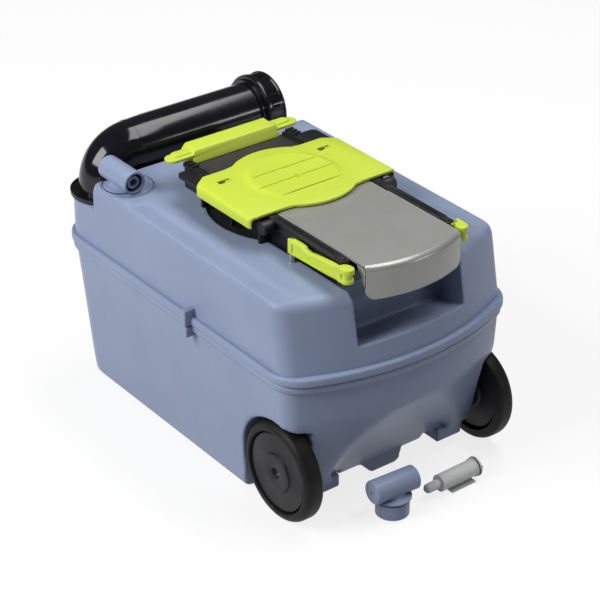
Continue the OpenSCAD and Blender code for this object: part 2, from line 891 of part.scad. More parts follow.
module grip_plate() {
    color(silver)
    union() {
        translate([0, 0, grip_top - grip_t])
            linear_extrude(grip_t)
                grip_edge_plan(0);
        // Down-turned lip
        intersection() {
            translate([0, 0, grip_top - lip_h])
                linear_extrude(lip_h - grip_t / 2)
                    difference() {
                        grip_edge_plan(0, lip_half + 1);
                        grip_edge_plan(lip_t, lip_half + 2);
                        translate([-lip_half - 2, -lip_front + lip_bow + 4])
                            square([2 * lip_half + 4, lip_front]);
                    }
            translate([0, -lip_front - 1, 0])
                rotate([-90, 0, 0])
                    linear_extrude(lip_bow + 10)
                        lip_face_plan();
        }
        // Side cheeks behind the lip
        for (side = [left, right])
            translate([0, 0, 0])
                rotate([90, 0, 90])
                    translate([0, 0, side > 0 ? lip_half - lip_t : -lip_half])
                        linear_extrude(lip_t)
                            polygon([
                                [-lip_front + lip_bow - 0.2, grip_top - grip_t + tiny],
                                [-lip_front + lip_bow - 0.2, grip_top - lip_h + 10],
                                [-lip_front + lip_bow + 12, grip_top - grip_t + tiny]
                            ]);
        // Tongues that run in the frame's grooves
        for (side = [left, right])
            translate([side > 0 ? lip_half - 2.4 : -side_in - tongue + 0.2,
                    -grip_notch, groove_z + 0.3])
                cube([side_in + tongue - 0.2 - lip_half + 2.4, grip_notch - grip_back, groove_h - 0.6]);
        for (side = [left, right])
            translate([side > 0 ? lip_half - 2.4 : -lip_half, -grip_notch, groove_z + 0.3])
                cube([2.4, grip_notch - grip_back, grip_top - groove_z - 0.4]);
    }
}

// Face of the lip with rounded lower corners, drawn with z turned to -y
module lip_face_plan() {
    r = 8;
    union() {
        translate([-lip_half, -grip_top - 1])
            square([2 * lip_half, lip_h + 1 - r]);
        translate([-lip_half + r, -grip_top])
            square([2 * lip_half - 2 * r, lip_h]);
        for (side = [left, right])
            translate([side * (lip_half - r), -grip_top + lip_h - r])
                circle(r = r);
    }
}

// ---------- Side catches ----------
catch_x = 67;
catch_t = 6;
catch_up = 8.5;
catch_low = top_z + catch_up;
catch_y = -118;
catch_rear = -110;
catch_front = -202;
lever_h = 14;
lever_rise = 5.6;
lever_top = rail_foot_z - gap;
knob_x = 67.5;
knob_r = 6.4;
knob_up = 22.5;
knob_top = catch_low + knob_up;
knob_t = 6.5;
wave_rear = -140;
wave_front = -170;
knob_neck = -190;
catch_pin_d = 3;
module catch(side) {
    x0 = side > 0 ? catch_x : -catch_x - catch_t;
    color(lime)
    difference() {
        union() {
            // Long lever, rising towards the knob
            translate([x0, 0, 0])
                rotate([90, 0, 90])
                    linear_extrude(catch_t)
                        polygon([
                            [catch_rear, catch_low],
                            [catch_rear, catch_low + lever_h],
                            [wave_rear + 2, catch_low + lever_h + 1],
                            [wave_rear - 2, catch_low + lever_h - 1],
                            [wave_front + 2, catch_low + lever_h],
                            [wave_front - 2, lever_top - 0.5],
                            [catch_front + 4, lever_top],
                            [catch_front + 4, catch_low + lever_rise],
                            [knob_neck, catch_low + lever_rise - 1]
                        ]);
            // Knob, its stem and the foot below it
            translate([side * knob_x, catch_front, knob_top - knob_t])
                cylinder(r = knob_r, h = knob_t);
            translate([side * knob_x, catch_front, catch_low + lever_rise])
                cylinder(r = knob_r, h = knob_t - 2);
            translate([side * knob_x, catch_front, catch_low + lever_rise])
                cylinder(r = knob_r - 2.6, h = knob_top - catch_low - lever_rise);
        }
        translate([side * (catch_x + catch_t / 2), catch_y, catch_low - 1])
            cylinder(d = catch_pin_d + 2 * fit, h = lever_h + 4);
    }
}

// Pins of both catches, on the shell beside the tray
module catch_pins() {
    color(steel)
    for (side = [left, right])
        translate([side * (catch_x + catch_t / 2), catch_y, top_z])
            union() {
                cylinder(d = catch_pin_d, h = catch_low - top_z + lever_h + 2.2);
                cylinder(r = 3.4, h = catch_low - top_z - gap);
            }
}

// Leaf springs that push the catches out
spring_t = 0.8;
spring_l = 36;
spring_h = 7;
spring_y = -172;
module catch_springs() {
    color(steel)
    for (side = [left, right])
        translate([side > 0 ? side_out + gap : -side_out - gap - spring_t, spring_y, catch_low + 2])
            cube([spring_t, spring_l, spring_h]);
}

// ---------- Swivel spout ----------
collar_h = 5.4;
leg_flange_r = leg_d / 2 + 4.6;
leg_flange_t = 2.6;
bend_r = 30;
bend_tube_r = 27.4;
leg_r = leg_d / 2;
pipe_r = pipe_d / 2;
leg_foot_z = ledge_z - socket_depth + 2;
mouth_x = pipe_reach - swivel_x - 3;
thread_r = cap_d / 2 - 5;
cap_face = pipe_reach - swivel_x + 3.2;

module spout_collar() {
    color(black)
    translate([-swivel_x, swivel_y, ledge_z])
        difference() {
            cylinder(d = collar_d, h = collar_h);
            translate([0, 0, -tiny])
                cylinder(r = leg_r + fit, h = 2 * collar_h);
            translate([0, 0, -tiny])
                cylinder(r = leg_flange_r + gap, h = leg_flange_t + 2 * gap);
        }
}

// A straight hollow length of the spout along +Z
module spout_length(r1, r2, h) {
    difference() {
        cylinder(r1 = r1, r2 = r2, h = h);
        translate([0, 0, -(r2 > r1 ? 0 : 1)])
            cylinder(r1 = r1 - spout_wall, r2 = r2 - spout_wall, h = h + (r2 > r1 ? 0 : 2));
    }
}

// The quarter bend from the leg to the pipe
module spout_bend() {
    intersection() {
        rotate([90, 0, 0])
            rotate_extrude($fn = 72)
                translate([bend_r, 0])
                    difference() {
                        circle(r = bend_tube_r, $fn = 48);
                        circle(r = bend_tube_r - spout_wall, $fn = 48);
                    }
        translate([-2 * bend_r, -leg_d, 0])
            cube([2 * bend_r, 2 * leg_d, 2 * bend_r]);
    }
}

widening = 8;
leg_top_z = pipe_z - bend_r;
leg_cone_z = ledge_z + collar_h + gap;
module spout_pipe() {
    color(black)
    difference() {
        union() {
            translate([-swivel_x, swivel_y, leg_foot_z])
                spout_length(leg_r, leg_r, leg_cone_z - leg_foot_z);
            translate([-swivel_x, swivel_y, leg_cone_z])
                spout_length(leg_r, bend_tube_r, leg_top_z - leg_cone_z);
            translate([-swivel_x + bend_r, swivel_y, leg_top_z])
                spout_bend();
            translate([-swivel_x + bend_r, swivel_y, pipe_z])
                rotate([0, 90, 0])
                    spout_length(bend_tube_r, pipe_r, widening);
            translate([-swivel_x + bend_r + widening, swivel_y, pipe_z])
                rotate([0, 90, 0])
                    spout_length(pipe_r, pipe_r, mouth_x + swivel_x - bend_r - widening);
            // Flange that the collar holds down
            translate([-swivel_x, swivel_y, ledge_z + gap])
                difference() {
                    cylinder(r = leg_flange_r, h = leg_flange_t);
                    translate([0, 0, -1])
                        cylinder(r = leg_r - 1, h = leg_flange_t + 2);
                }
            // Two flanges behind the cap and the thread's two turns
            for (step = [0, 1])
                translate([cap_face - cap_l - 4.4 + 2.6 * step, swivel_y, pipe_z])
                    rotate([0, 90, 0])
                        pipe_ring(thread_r + 1.6, 1.2);
            for (turn = [0, 1])
                translate([mouth_x - 6 - 6 * turn, swivel_y, pipe_z])
                    rotate([0, 90, 0])
                        pipe_ring(thread_r, 2);
        }
        // Groove for the ring in the socket
        translate([-swivel_x, swivel_y, ledge_z - 9])
            difference() {
                cylinder(r = leg_r + 1, h = 2);
                translate([0, 0, -1])
                    cylinder(r = leg_r - 1.5, h = 4);
            }
    }
}

module pipe_ring(r, h) {
    difference() {
        cylinder(r = r, h = h);
        translate([0, 0, -1])
            cylinder(r = pipe_r - 1, h = h + 2);
    }
}

module spout_o_ring() {
    color(rubber)
    translate([-swivel_x, swivel_y, ledge_z - 8])
        rotate_extrude()
            translate([leg_r - 0.73, 0])
                circle(r = 0.75, $fn = 24);
}

module cap_gasket() {
    color(rubber)
    translate([mouth_x + gap, swivel_y, pipe_z])
        rotate([0, 90, 0])
            cylinder(r = thread_r - 0.4, h = 2.2);
}

cap_rib_groups = 6;
module spout_cap() {
    inner = mouth_x + gap + 2.2;
    start = cap_face - cap_l;
    color(black)
    translate([0, swivel_y, pipe_z])
        rotate([0, 90, 0])
            difference() {
                union() {
                    translate([0, 0, start])
                        cylinder(d = cap_d - 2.4, h = cap_l - 1.5);
                    translate([0, 0, start])
                        cylinder(d = cap_d, h = 6.5);
                    translate([0, 0, cap_face - 5])
                        cylinder(d = cap_d, h = 3.6);
                    translate([0, 0, cap_face - 1.5])
                        cylinder(d1 = cap_d - 2, d2 = cap_d - 6, h = 1.5);
                    // Grip ribs in groups of four
                    for (group = [0:cap_rib_groups - 1], rib = [0:3])
                        rotate([0, 0, group * 360 / cap_rib_groups + rib * 9])
                            translate([cap_d / 2 - 2.4, -1.1, start + 6])
                                cube([2.3, 2.2, cap_l - 10.5]);
                }
                translate([0, 0, start - tiny])
                    cylinder(r = thread_r + 0.9, h = inner - start + tiny);
            }
}

// ---------- Vent elbow, used on the tank and again as the spare ----------
vent_neck_r = vent_base_d / 2 - 2.6;
vent_bore_r = vent_d / 2 - 2.2;
ring_up = 15.5;
notch_turn = 68;
// The elbow stands on the origin, its tube along -Y and open at that end
module elbow_form() {
    difference() {
        union() {
            cylinder(d = vent_base_d, h = ring_up);
            cylinder(r = vent_neck_r, h = vent_base_l + 1);
            translate([0, 0, vent_base_l])
                cylinder(r = vent_flange_r, h = vent_flange_t);
            translate([0, 0, vent_base_l + vent_flange_t - tiny])
                cylinder(r = vent_d / 2 - 1, h = vent_axis_up - vent_base_l - vent_flange_t);
            translate([0, vent_l / 2, vent_axis_up])
                rotate([90, 0, 0])
                    cylinder(d = vent_d, h = vent_l);
        }
        translate([0, vent_l / 2 - 2.4, vent_axis_up])
            rotate([90, 0, 0])
                cylinder(r = vent_bore_r, h = vent_l);
        translate([0, 0, -tiny])
            cylinder(r = vent_bore_r - 1, h = vent_axis_up - 4);
        // Dimple in the closed end
        translate([0, vent_l / 2 + tiny, vent_axis_up])
            rotate([90, 0, 0])
                cylinder(r = 1.4, h = 1.2);
        // Bayonet notch in the base
        rotate(notch_turn)
            translate([vent_neck_r + 0.4, -3, ring_up - 6.4])
                cube([4, 6, 7.4]);
    }
}

module elbow_ring() {
    translate([0, 0, (ring_up + vent_base_l) / 2])
        rotate_extrude()
            translate([vent_neck_r + 1.25, 0])
                circle(r = 1.2, $fn = 24);
}

// Valve cartridge along +Y from its flange at the origin
valve_l = 47.6;
valve_r = 8.6;
tip_l = 18.2;
tip_r = 4.8;
valve_flange_r = 10.1;
valve_plate = [-8.4, 4.8, 7.2, 37];
module valve_form(fin) {
    plate_w = valve_plate[1] - valve_plate[0];
    plate_l = valve_plate[3] - valve_plate[2];
    rotate([-90, 0, 0])
        difference() {
            union() {
                cylinder(r = valve_flange_r, h = 1.6);
                cylinder(r = valve_flange_r - 2.4, h = 4);
                translate([0, 0, 3.4])
                    cylinder(r = valve_flange_r - 0.6, h = 1.4);
                translate([0, 0, 4])
                    cylinder(r = valve_r, h = valve_l - 4);
                translate([0, 0, valve_l - tiny])
                    cylinder(r = tip_r, h = tip_l - tip_r);
                translate([0, 0, valve_l + tip_l - tip_r])
                    sphere(r = tip_r);
                // Web and the plate that it lies on
                translate([-0.9, 0, valve_plate[2]])
                    cube([1.8, fin - 0.2, plate_l]);
                translate([valve_plate[0], fin - 1.8, valve_plate[2]])
                    cube([plate_w, 1.8, plate_l]);
                for (x = [-5, 5])
                    translate([x - 0.7, -1, -4.6])
                        cube([1.4, 2, 4.7]);
            }
            translate([0, 0, -1])
                cylinder(r = 3.4, h = valve_l - 2);
        }
}

module valve_ring() {
    rotate([-90, 0, 0])
        translate([0, 0, 2.5])
            rotate_extrude()
                translate([valve_flange_r - 1.45, 0])
                    circle(r = 0.9, $fn = 24);
}

module vent_place() {
    translate([-vent_x, vent_y, vent_low_z])
        children();
}

module vent_elbow() { color(tank_blue) vent_place() elbow_form(); }
module vent_o_ring() { color(rubber) vent_place() elbow_ring(); }

module vent_valve_place() {
    vent_place()
        translate([0, -vent_l / 2 + 2.2, vent_axis_up])
            children();
}

// The fitted cartridge is a short one, without fin or prongs
module vent_valve() {
    color(tank_blue)
    vent_valve_place()
        rotate([-90, 0, 0])
            difference() {
                union() {
                    cylinder(r = vent_bore_r - 0.1, h = 3);
                    cylinder(r = vent_bore_r - 2.4, h = 30);
                }
                translate([0, 0, -1])
                    cylinder(r = 4.6, h = 28);
            }
}

module vent_valve_ring() {
    color(rubber)
    vent_valve_place()
        rotate([-90, 0, 0])
            translate([0, 0, 6])
                rotate_extrude()
                    translate([vent_bore_r - 1.3, 0])
                        circle(r = 1.05, $fn = 24);
}

// ---------- Level float ----------
pin_d = 4;
float_x = 80;
float_in = 33;
float_y = ledge_wall_y - float_in;
bracket_l = 14;
bracket_w = 18;
cheek_t = 3;
float_drop = 39;
float_z = top_z - float_drop;
arm_down = 50;
arm_w = 8;
stop_r = 1.5;
cheek_low = 17;
module float_bracket() {
    stop_off = arm_w / 2 + stop_r + gap;
    color(tank_blue)
    difference() {
        union() {
            for (side = [left, right])
                translate([float_x + side * (bracket_w - cheek_t) / 2 - cheek_t / 2, float_y - arm_w,
                        float_z - cheek_low])
                    cube([cheek_t, bracket_l, top_z - wall - float_z + cheek_low]);
            translate([float_x - bracket_w / 2, float_y - arm_w, top_z - wall - cheek_t])
                cube([bracket_w, bracket_l, cheek_t]);
            // Stop bar that the resting arm lies on
            translate([float_x - bracket_w / 2 + 2,
                    float_y - arm_w * cos(arm_down) + stop_off * sin(arm_down),
                    float_z - arm_w * sin(arm_down) - stop_off * cos(arm_down)])
                rotate([0, 90, 0])
                    cylinder(r = stop_r, h = bracket_w - 4);
        }
        translate([float_x - 20, float_y, float_z])
            rotate([0, 90, 0])
                cylinder(d = pin_d + fit, h = 40);
    }
}

module float_pin() {
    color(steel)
    translate([float_x - 10.5, float_y, float_z])
        rotate([0, 90, 0])
            union() {
                cylinder(d = pin_d, h = 20.5);
                cylinder(d = pin_d + 3, h = 1.2);
            }
}

// Both hang from the pin at rest, arm_down degrees below level
module arm_place() {
    translate([float_x, float_y, float_z])
        rotate([arm_down, 0, 0])
            children();
}

module float_arm() {
    color(dark_grey)
    arm_place()
        difference() {
            union() {
                rotate([0, 90, 0])
                    cylinder(d = arm_w + 1, h = 8, center = true);
                translate([-2.5, -arm_l, -arm_w / 2])
                    cube([5, arm_l, arm_w]);
            }
            rotate([0, 90, 0])
                cylinder(d = pin_d + 2 * fit, h = 20, center = true);
        }
}

float_w = 46;
module level_float() {
    color(foam)
    arm_place()
        translate([-float_w / 2, -arm_l, 0])
            difference() {
                rotate([0, 90, 0])
                    cylinder(d = float_d, h = float_w);
                translate([float_w / 2 - 2.55, 0, -arm_w / 2 - 0.05])
                    cube([5.1, arm_l, arm_w + 0.1]);
            }
}

// ---------- Loose spares beside the tank ----------
spare_x = -33.8;
spare_y = -226.8;
spare_turn = 86.8;
module spare_place() {
    translate([spare_x, spare_y, 0])
        rotate(spare_turn)
            children();
}

module spare_elbow() { color(tank_blue) spare_place() elbow_form(); }
module spare_o_ring() { color(rubber) spare_place() elbow_ring(); }

valve_x = 68;
valve_y = -230;
valve_axis_z = 11.5;
module spare_valve_place() {
    translate([valve_x, valve_y, valve_axis_z])
        rotate(91)
            children();
}

module spare_valve() { color(pale_grey) spare_valve_place() valve_form(valve_axis_z); }
module spare_valve_ring() { color(rubber) spare_valve_place() valve_ring(); }

lower_shell();
upper_shell();
axle();
axle_clips();
wheel_disc(left);  // wheel_disc_left
wheel_disc(right);  // wheel_disc_right
tyre(left);  // tyre_left
tyre(right);  // tyre_right
mechanism_frame();
lip_seal();
seal_retainer();
blade_track(left);  // blade_track_left
blade_track(right);  // blade_track_right
valve_blade();
rear_deck();
rear_bar();
rail(left);  // rail_left
rail(right);  // rail_right
sliding_cover();
grip_plate();
catch(left);  // catch_left
catch(right);  // catch_right
catch_pins();
catch_springs();
spout_collar();
spout_pipe();
spout_o_ring();
cap_gasket();
spout_cap();
vent_elbow();
vent_o_ring();
vent_valve();
vent_valve_ring();
float_bracket();
float_pin();
float_arm();
level_float();
spare_elbow();
spare_o_ring();
spare_valve();
spare_valve_ring();
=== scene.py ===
# %% [markdown]
# # A wheeled waste tank with a swivel spout
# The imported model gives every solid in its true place. This script dresses those solids: it makes
# the moulded skins, the lime and silver slideway pieces, the glossy spout and the wheels, gives
# each one a material built from nodes, and sets up a plain studio around them.

import json
import math

import bmesh
import bpy
import numpy as np
from mathutils import Matrix, Vector


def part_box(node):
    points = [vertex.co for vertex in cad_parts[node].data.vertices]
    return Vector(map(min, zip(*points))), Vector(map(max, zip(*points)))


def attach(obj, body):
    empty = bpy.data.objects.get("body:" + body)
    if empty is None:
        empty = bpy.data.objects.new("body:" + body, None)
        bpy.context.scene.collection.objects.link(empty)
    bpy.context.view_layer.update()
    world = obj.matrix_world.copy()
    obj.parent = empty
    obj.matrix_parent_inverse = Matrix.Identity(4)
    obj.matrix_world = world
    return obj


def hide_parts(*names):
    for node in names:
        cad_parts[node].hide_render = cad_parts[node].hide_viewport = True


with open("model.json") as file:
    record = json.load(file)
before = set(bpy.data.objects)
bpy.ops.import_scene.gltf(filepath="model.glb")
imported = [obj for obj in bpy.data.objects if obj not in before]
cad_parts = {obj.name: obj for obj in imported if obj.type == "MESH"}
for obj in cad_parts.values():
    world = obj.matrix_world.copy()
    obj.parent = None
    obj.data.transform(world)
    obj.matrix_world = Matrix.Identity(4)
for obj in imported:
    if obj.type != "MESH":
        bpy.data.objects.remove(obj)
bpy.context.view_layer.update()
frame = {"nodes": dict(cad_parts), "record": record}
MM = 0.001
print("nodes in the frame:", len(frame["nodes"]))

# %% [markdown]
# ## Sizes
# The sizes below are in millimetres, in the frame's own axes: +X to the right, +Y to the spout and
# +Z up, from the ground under the tank. They repeat the sizes of the solids. The height of the
# slideway is read from its solid's box, since all that slides is set from it.

# %% Sizes of the tank
SEAM = 156.0
TOP = 235.0
LEDGE = 205.0
HALF_W = 131.0
HALF_L = 187.6
FRONT_BOW = 34.0
FRONT_CORNER = 20.0
REAR_CORNER = 32.0
FRONT_LEAN = 15.0 / 79.0
FLANGE_OUT = 4.9
WALL = 3.4
INLET = (0.0, -22.0)
SWIVEL = (-97.6, 158.0)
VENT = (-110.0, 106.0)
AXLE = (-168.0, 50.8)
SLIDE = float(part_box("mechanism_frame")[1][2]) / MM
PIPE_Z = 243.7
# Places well outside the tank, where cutting tools end
ASIDE = 200.0
AHEAD = -300.0
BEHIND = 300.0
BELOW = -60.0
ABOVE = 320.0
print("slideway height", round(SLIDE, 2), "mm")

# %% [markdown]
# ## Helpers that make meshes
# Most pieces start as rings of points joined by quads, as a lathe turns a profile round an axis or
# as a loft joins outlines at several heights. The rings are worked out with numpy in millimetres
# and turned into a mesh in metres.

# %% Mesh helpers
UP = (0, 0, 1)
RIGHT = (1, 0, 0)
FLAT_ANGLE = 0.6


def linked(name, data):
    """A new object in the scene for a mesh, a curve, a light or a camera."""
    obj = bpy.data.objects.new(name, data)
    bpy.context.scene.collection.objects.link(obj)
    return obj


def mesh_object(name, points, faces):
    """A mesh from points in millimetres and the faces between them."""
    mesh = bpy.data.meshes.new(name)
    mesh.from_pydata([tuple(p) for p in np.asarray(points, float) * MM], [], faces)
    return linked(name, mesh)


def tidy(obj, merge=1e-6):
    """Merges doubles and turns all faces outwards."""
    bm = bmesh.new()
    bm.from_mesh(obj.data)
    bmesh.ops.remove_doubles(bm, verts=bm.verts, dist=merge)
    bmesh.ops.recalc_face_normals(bm, faces=bm.faces)
    bm.to_mesh(obj.data)
    bm.free()
    return obj


def loft(name, rings, capped=True, closed=True):
    """Joins rings of equal length by quads, with flat caps on both ends."""
    count = len(rings[0])
    points = np.concatenate([np.asarray(r, float) for r in rings])
    faces = []
    steps = count if closed else count - 1
    for k in range(len(rings) - 1):
        for i in range(steps):
            j = (i + 1) % count
            faces.append((k * count + i, k * count + j, (k + 1) * count + j, (k + 1) * count + i))
    if capped:
        faces.append(tuple(range(count))[::-1])
        faces.append(tuple(range((len(rings) - 1) * count, len(rings) * count)))
    return tidy(mesh_object(name, points, faces))


def turn_from_up(axis):
    """The turn that brings the Z axis onto the given one."""
    return Vector(UP).rotation_difference(Vector(axis)).to_matrix()


def lathe(name, profile, at, axis, segments=96):
    """Turns a closed profile of (radius, along) pairs round an axis through at."""
    turn = turn_from_up(axis)
    rings = []
    for k in range(segments):
        a = 2 * math.pi * k / segments
        ring = [turn @ Vector((r * math.cos(a), r * math.sin(a), h)) for r, h in profile]
        rings.append([tuple(Vector(at) + p) for p in ring])
    rings.append(rings[0])
    return loft(name, rings, capped=False)


def prism(name, outline, direction, start, length):
    """A flat outline of (a, b) pairs pushed along X, Y or Z."""
    order = {"x": (2, 0, 1), "y": (0, 2, 1), "z": (0, 1, 2)}[direction]
    rings = []
    for depth in (start, start + length):
        flat = [(a, b, depth) for a, b in outline]
        rings.append([tuple(p[i] for i in order) for p in flat])
    return loft(name, rings)


def block(name, lo, hi):
    """A box between its lowest and highest corners."""
    outline = [(lo[0], lo[1]), (hi[0], lo[1]), (hi[0], hi[1]), (lo[0], hi[1])]
    return prism(name, outline, "z", lo[2], hi[2] - lo[2])


def side_block(name, side, across, along, up):
    """A box on one side of the middle, from its ranges of distance, place along and height."""
    x0, x1 = sorted(side * x for x in across)
    return block(name, (x0, along[0], up[0]), (x1, along[1], up[1]))


def rod(name, radius, at, axis, length, segments=96):
    """A plain round bar, used mostly to cut holes."""
    turn = turn_from_up(axis)
    rings = []
    for h in (0, length):
        ring = []
        for k in range(segments):
            a = 2 * math.pi * k / segments
            ring.append(Vector(at) + turn @ Vector((radius * math.cos(a), radius * math.sin(a), h)))
        rings.append([tuple(p) for p in ring])
    return loft(name, rings)


def bake(obj):
    """Puts the result of an object's modifiers into its own mesh."""
    graph = bpy.context.evaluated_depsgraph_get()
    mesh = bpy.data.meshes.new_from_object(obj.evaluated_get(graph))
    obj.modifiers.clear()
    obj.data = mesh
    return obj


def combine(target, others, how):
    """Adds solids to the target or cuts them from it."""
    for other in others:
        modifier = target.modifiers.new("combine", "BOOLEAN")
        modifier.operation = how
        modifier.solver = "MANIFOLD"
        modifier.object = other
        bake(target)
        bpy.data.objects.remove(other)
    return target


def cut(target, *others):
    return combine(target, others, "DIFFERENCE")


def join(target, *others):
    return combine(target, others, "UNION")


def relax(obj, rounds, area=""):
    """Moves each point of an area halfway to the middle of its neighbours, several times over."""
    smooth = obj.modifiers.new("soft edges", "SMOOTH")
    smooth.iterations = rounds
    smooth.factor = 0.5
    smooth.vertex_group = area


def soften_skin(obj, voxel, rounds, keep, softest=None, more_rounds=110):
    """Rounds every edge of a solid a little, as blow moulding does, and more where softest says."""
    remesh = obj.modifiers.new("even mesh", "REMESH")
    remesh.mode = "VOXEL"
    remesh.voxel_size = voxel * MM
    relax(obj, rounds)
    if softest:
        bake(obj)
        area = obj.vertex_groups.new(name="softest")
        area.add([v.index for v in obj.data.vertices if softest(v.co)], 1.0, "REPLACE")
        relax(obj, more_rounds, area.name)
    thin = obj.modifiers.new("fewer faces", "DECIMATE")
    thin.ratio = keep
    bake(obj)
    obj.data.shade_smooth()
    print(obj.name, "has", len(obj.data.polygons), "faces")
    return obj


def shade(obj, angle=35):
    """Smooth shading that stays crisp where faces meet at more than the angle."""
    obj.data.shade_smooth()
    bm = bmesh.new()
    bm.from_mesh(obj.data)
    for edge in bm.edges:
        if len(edge.link_faces) == 2:
            edge.smooth = edge.calc_face_angle(0) < math.radians(angle)
    bm.to_mesh(obj.data)
    bm.free()
    return obj


def bevel(obj, width, segments=3, angle=30):
    """Breaks the sharp edges of a moulded or cut piece."""
    modifier = obj.modifiers.new("bevel", "BEVEL")
    modifier.width = width * MM
    modifier.segments = segments
    modifier.limit_method = "ANGLE"
    modifier.angle_limit = math.radians(angle)
    modifier.harden_normals = False
    modifier.use_clamp_overlap = True
    bake(obj)
    shade(obj, angle)
    return obj


def solid_copy(node):
    """A clean copy of a CAD node, with flat stretches joined into single faces."""
    obj = linked(node + "_skin", frame["nodes"][node].data.copy())
    obj.data.materials.clear()
    bm = bmesh.new()
    bm.from_mesh(obj.data)
    bmesh.ops.remove_doubles(bm, verts=bm.verts, dist=2e-6)
    bmesh.ops.dissolve_limit(bm, angle_limit=math.radians(FLAT_ANGLE), verts=bm.verts, edges=bm.edges,
                             use_dissolve_boundaries=False)
    bm.to_mesh(obj.data)
    bm.free()
    return obj


SLOT_OF = {part["node"]: part["material_slot"] for part in frame["record"]["subparts"]}
BODY_OF = {n: b for b, ns in frame["record"]["behaviour"]["bodies"].items() for n in ns}


def dress(obj, material, *nodes):
    """Gives a finished piece its material and its place in the moving model."""
    obj.data.materials.clear()
    obj.data.materials.append(material)
    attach(obj, BODY_OF[nodes[0]])
    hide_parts(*nodes)
    return obj


print("helpers ready")

# %% [markdown]
# ## Surface effects shared by the plastics
# Moulded plastic is never one flat colour. It has soft clouds from the way the melt flowed, a fine
# grain from the mould, and faint rubbed patches where it has been handled. One node group makes all
# three from object coordinates, and each material gives it its own colour and amounts.

# %% Node groups
def group_with(name, inputs, outputs, kind="ShaderNodeTree"):
    """An empty node group with its sockets, and the nodes that its inputs and outputs show on."""
    tree = bpy.data.node_groups.new(name, kind)
    for label, socket_type, value in inputs:
        socket = tree.interface.new_socket(label, in_out="INPUT", socket_type=socket_type)
        if value is not None:
            socket.default_value = value
    for label, socket_type in outputs:
        tree.interface.new_socket(label, in_out="OUTPUT", socket_type=socket_type)
    return tree, tree.nodes.new("NodeGroupInput"), tree.nodes.new("NodeGroupOutput")


def node(tree, kind, **settings):
    made = tree.nodes.new(kind)
    for key, value in settings.items():
        setattr(made, key, value)
    return made


def feed(tree, target, values):
    """Sets a node's inputs to plain values, or links them to the outputs of other nodes."""
    for label, value in values.items():
        if isinstance(value, bpy.types.NodeSocket):
            tree.links.new(value, target.inputs[label])
        else:
            target.inputs[label].default_value = value


def math_node(tree, operation, a, b=None):
    made = node(tree, "ShaderNodeMath", operation=operation)
    feed(tree, made, {0: a} if b is None else {0: a, 1: b})
    return made.outputs[0]


def noise(tree, vector, scale, detail, roughness):
    made = node(tree, "ShaderNodeTexNoise")
    feed(tree, made, {"Vector": vector, "Scale": scale, "Detail": detail, "Roughness": roughness})
    return made.outputs["Fac"]


def ramp(tree, value, low_in, high_in, low_out=0.0, high_out=1.0):
    """Maps a range of values softly onto another one."""
    made = node(tree, "ShaderNodeMapRange", interpolation_type="SMOOTHSTEP")
    feed(tree, made, {"Value": value, "From Min": low_in, "From Max": high_in, "To Min": low_out,
                      "To Max": high_out})
    return made.outputs["Result"]


def mix_colour(tree, factor, a, b):
    made = node(tree, "ShaderNodeMix", data_type="RGBA")
    feed(tree, made, {"Factor": factor, 6: a, 7: b})
    return made.outputs[2]


def moulded_surface():
    """Colour, roughness and height of a moulded plastic at a point."""
    tree, start, end = group_with(
        "moulded surface",
        [("Vector", "NodeSocketVector", None),
         ("Colour", "NodeSocketColor", (0.5, 0.5, 0.5, 1)),
         ("Cloud colour", "NodeSocketColor", (0.4, 0.4, 0.4, 1)),
         ("Rubbed colour", "NodeSocketColor", (0.6, 0.6, 0.6, 1)),
         ("Cloud scale", "NodeSocketFloat", 14.0),
         ("Grain scale", "NodeSocketFloat", 900.0),
         ("Grain depth", "NodeSocketFloat", 0.5),
         ("Rubbed amount", "NodeSocketFloat", 0.3),
         ("Roughness low", "NodeSocketFloat", 0.35),
         ("Roughness high", "NodeSocketFloat", 0.5)],
        [("Colour", "NodeSocketColor"), ("Roughness", "NodeSocketFloat"), ("Height", "NodeSocketFloat")])
    vector = start.outputs["Vector"]
    clouds = noise(tree, vector, start.outputs["Cloud scale"], 4.0, 0.55)
    grain = noise(tree, vector, start.outputs["Grain scale"], 2.0, 0.6)
    patches = noise(tree, vector, 38.0, 5.0, 0.7)
    rubbed = math_node(tree, "MULTIPLY", ramp(tree, patches, 0.56, 0.74), start.outputs["Rubbed amount"])
    soft = mix_colour(tree, ramp(tree, clouds, 0.35, 0.68), start.outputs["Colour"],
                      start.outputs["Cloud colour"])
    colour = mix_colour(tree, rubbed, soft, start.outputs["Rubbed colour"])
    gloss = math_node(tree, "ADD", math_node(tree, "MULTIPLY", clouds, 0.7),
                      math_node(tree, "MULTIPLY", grain, 0.3))
    rough = ramp(tree, gloss, 0.3, 0.7, start.outputs["Roughness low"], start.outputs["Roughness high"])
    height = math_node(tree, "MULTIPLY", grain, start.outputs["Grain depth"])
    feed(tree, end, {"Colour": colour, "Roughness": rough, "Height": height})
    return tree


def fine_marks():
    """Short scratches that lie mostly along one direction."""
    tree, start, end = group_with(
        "fine marks",
        [("Vector", "NodeSocketVector", None), ("Stretch", "NodeSocketVector", (1.0, 1.0, 1.0)),
         ("Scale", "NodeSocketFloat", 300.0), ("Amount", "NodeSocketFloat", 0.3)],
        [("Mask", "NodeSocketFloat")])
    scaled = node(tree, "ShaderNodeVectorMath", operation="MULTIPLY")
    feed(tree, scaled, {0: start.outputs["Vector"], 1: start.outputs["Stretch"]})
    lines = noise(tree, scaled.outputs[0], start.outputs["Scale"], 3.0, 0.65)
    feed(tree, end, {"Mask": math_node(tree, "MULTIPLY", ramp(tree, lines, 0.5, 0.8),
                                       start.outputs["Amount"])})
    return tree


MOULDED = moulded_surface()
MARKS = fine_marks()
print("node groups:", MOULDED.name, "and", MARKS.name)

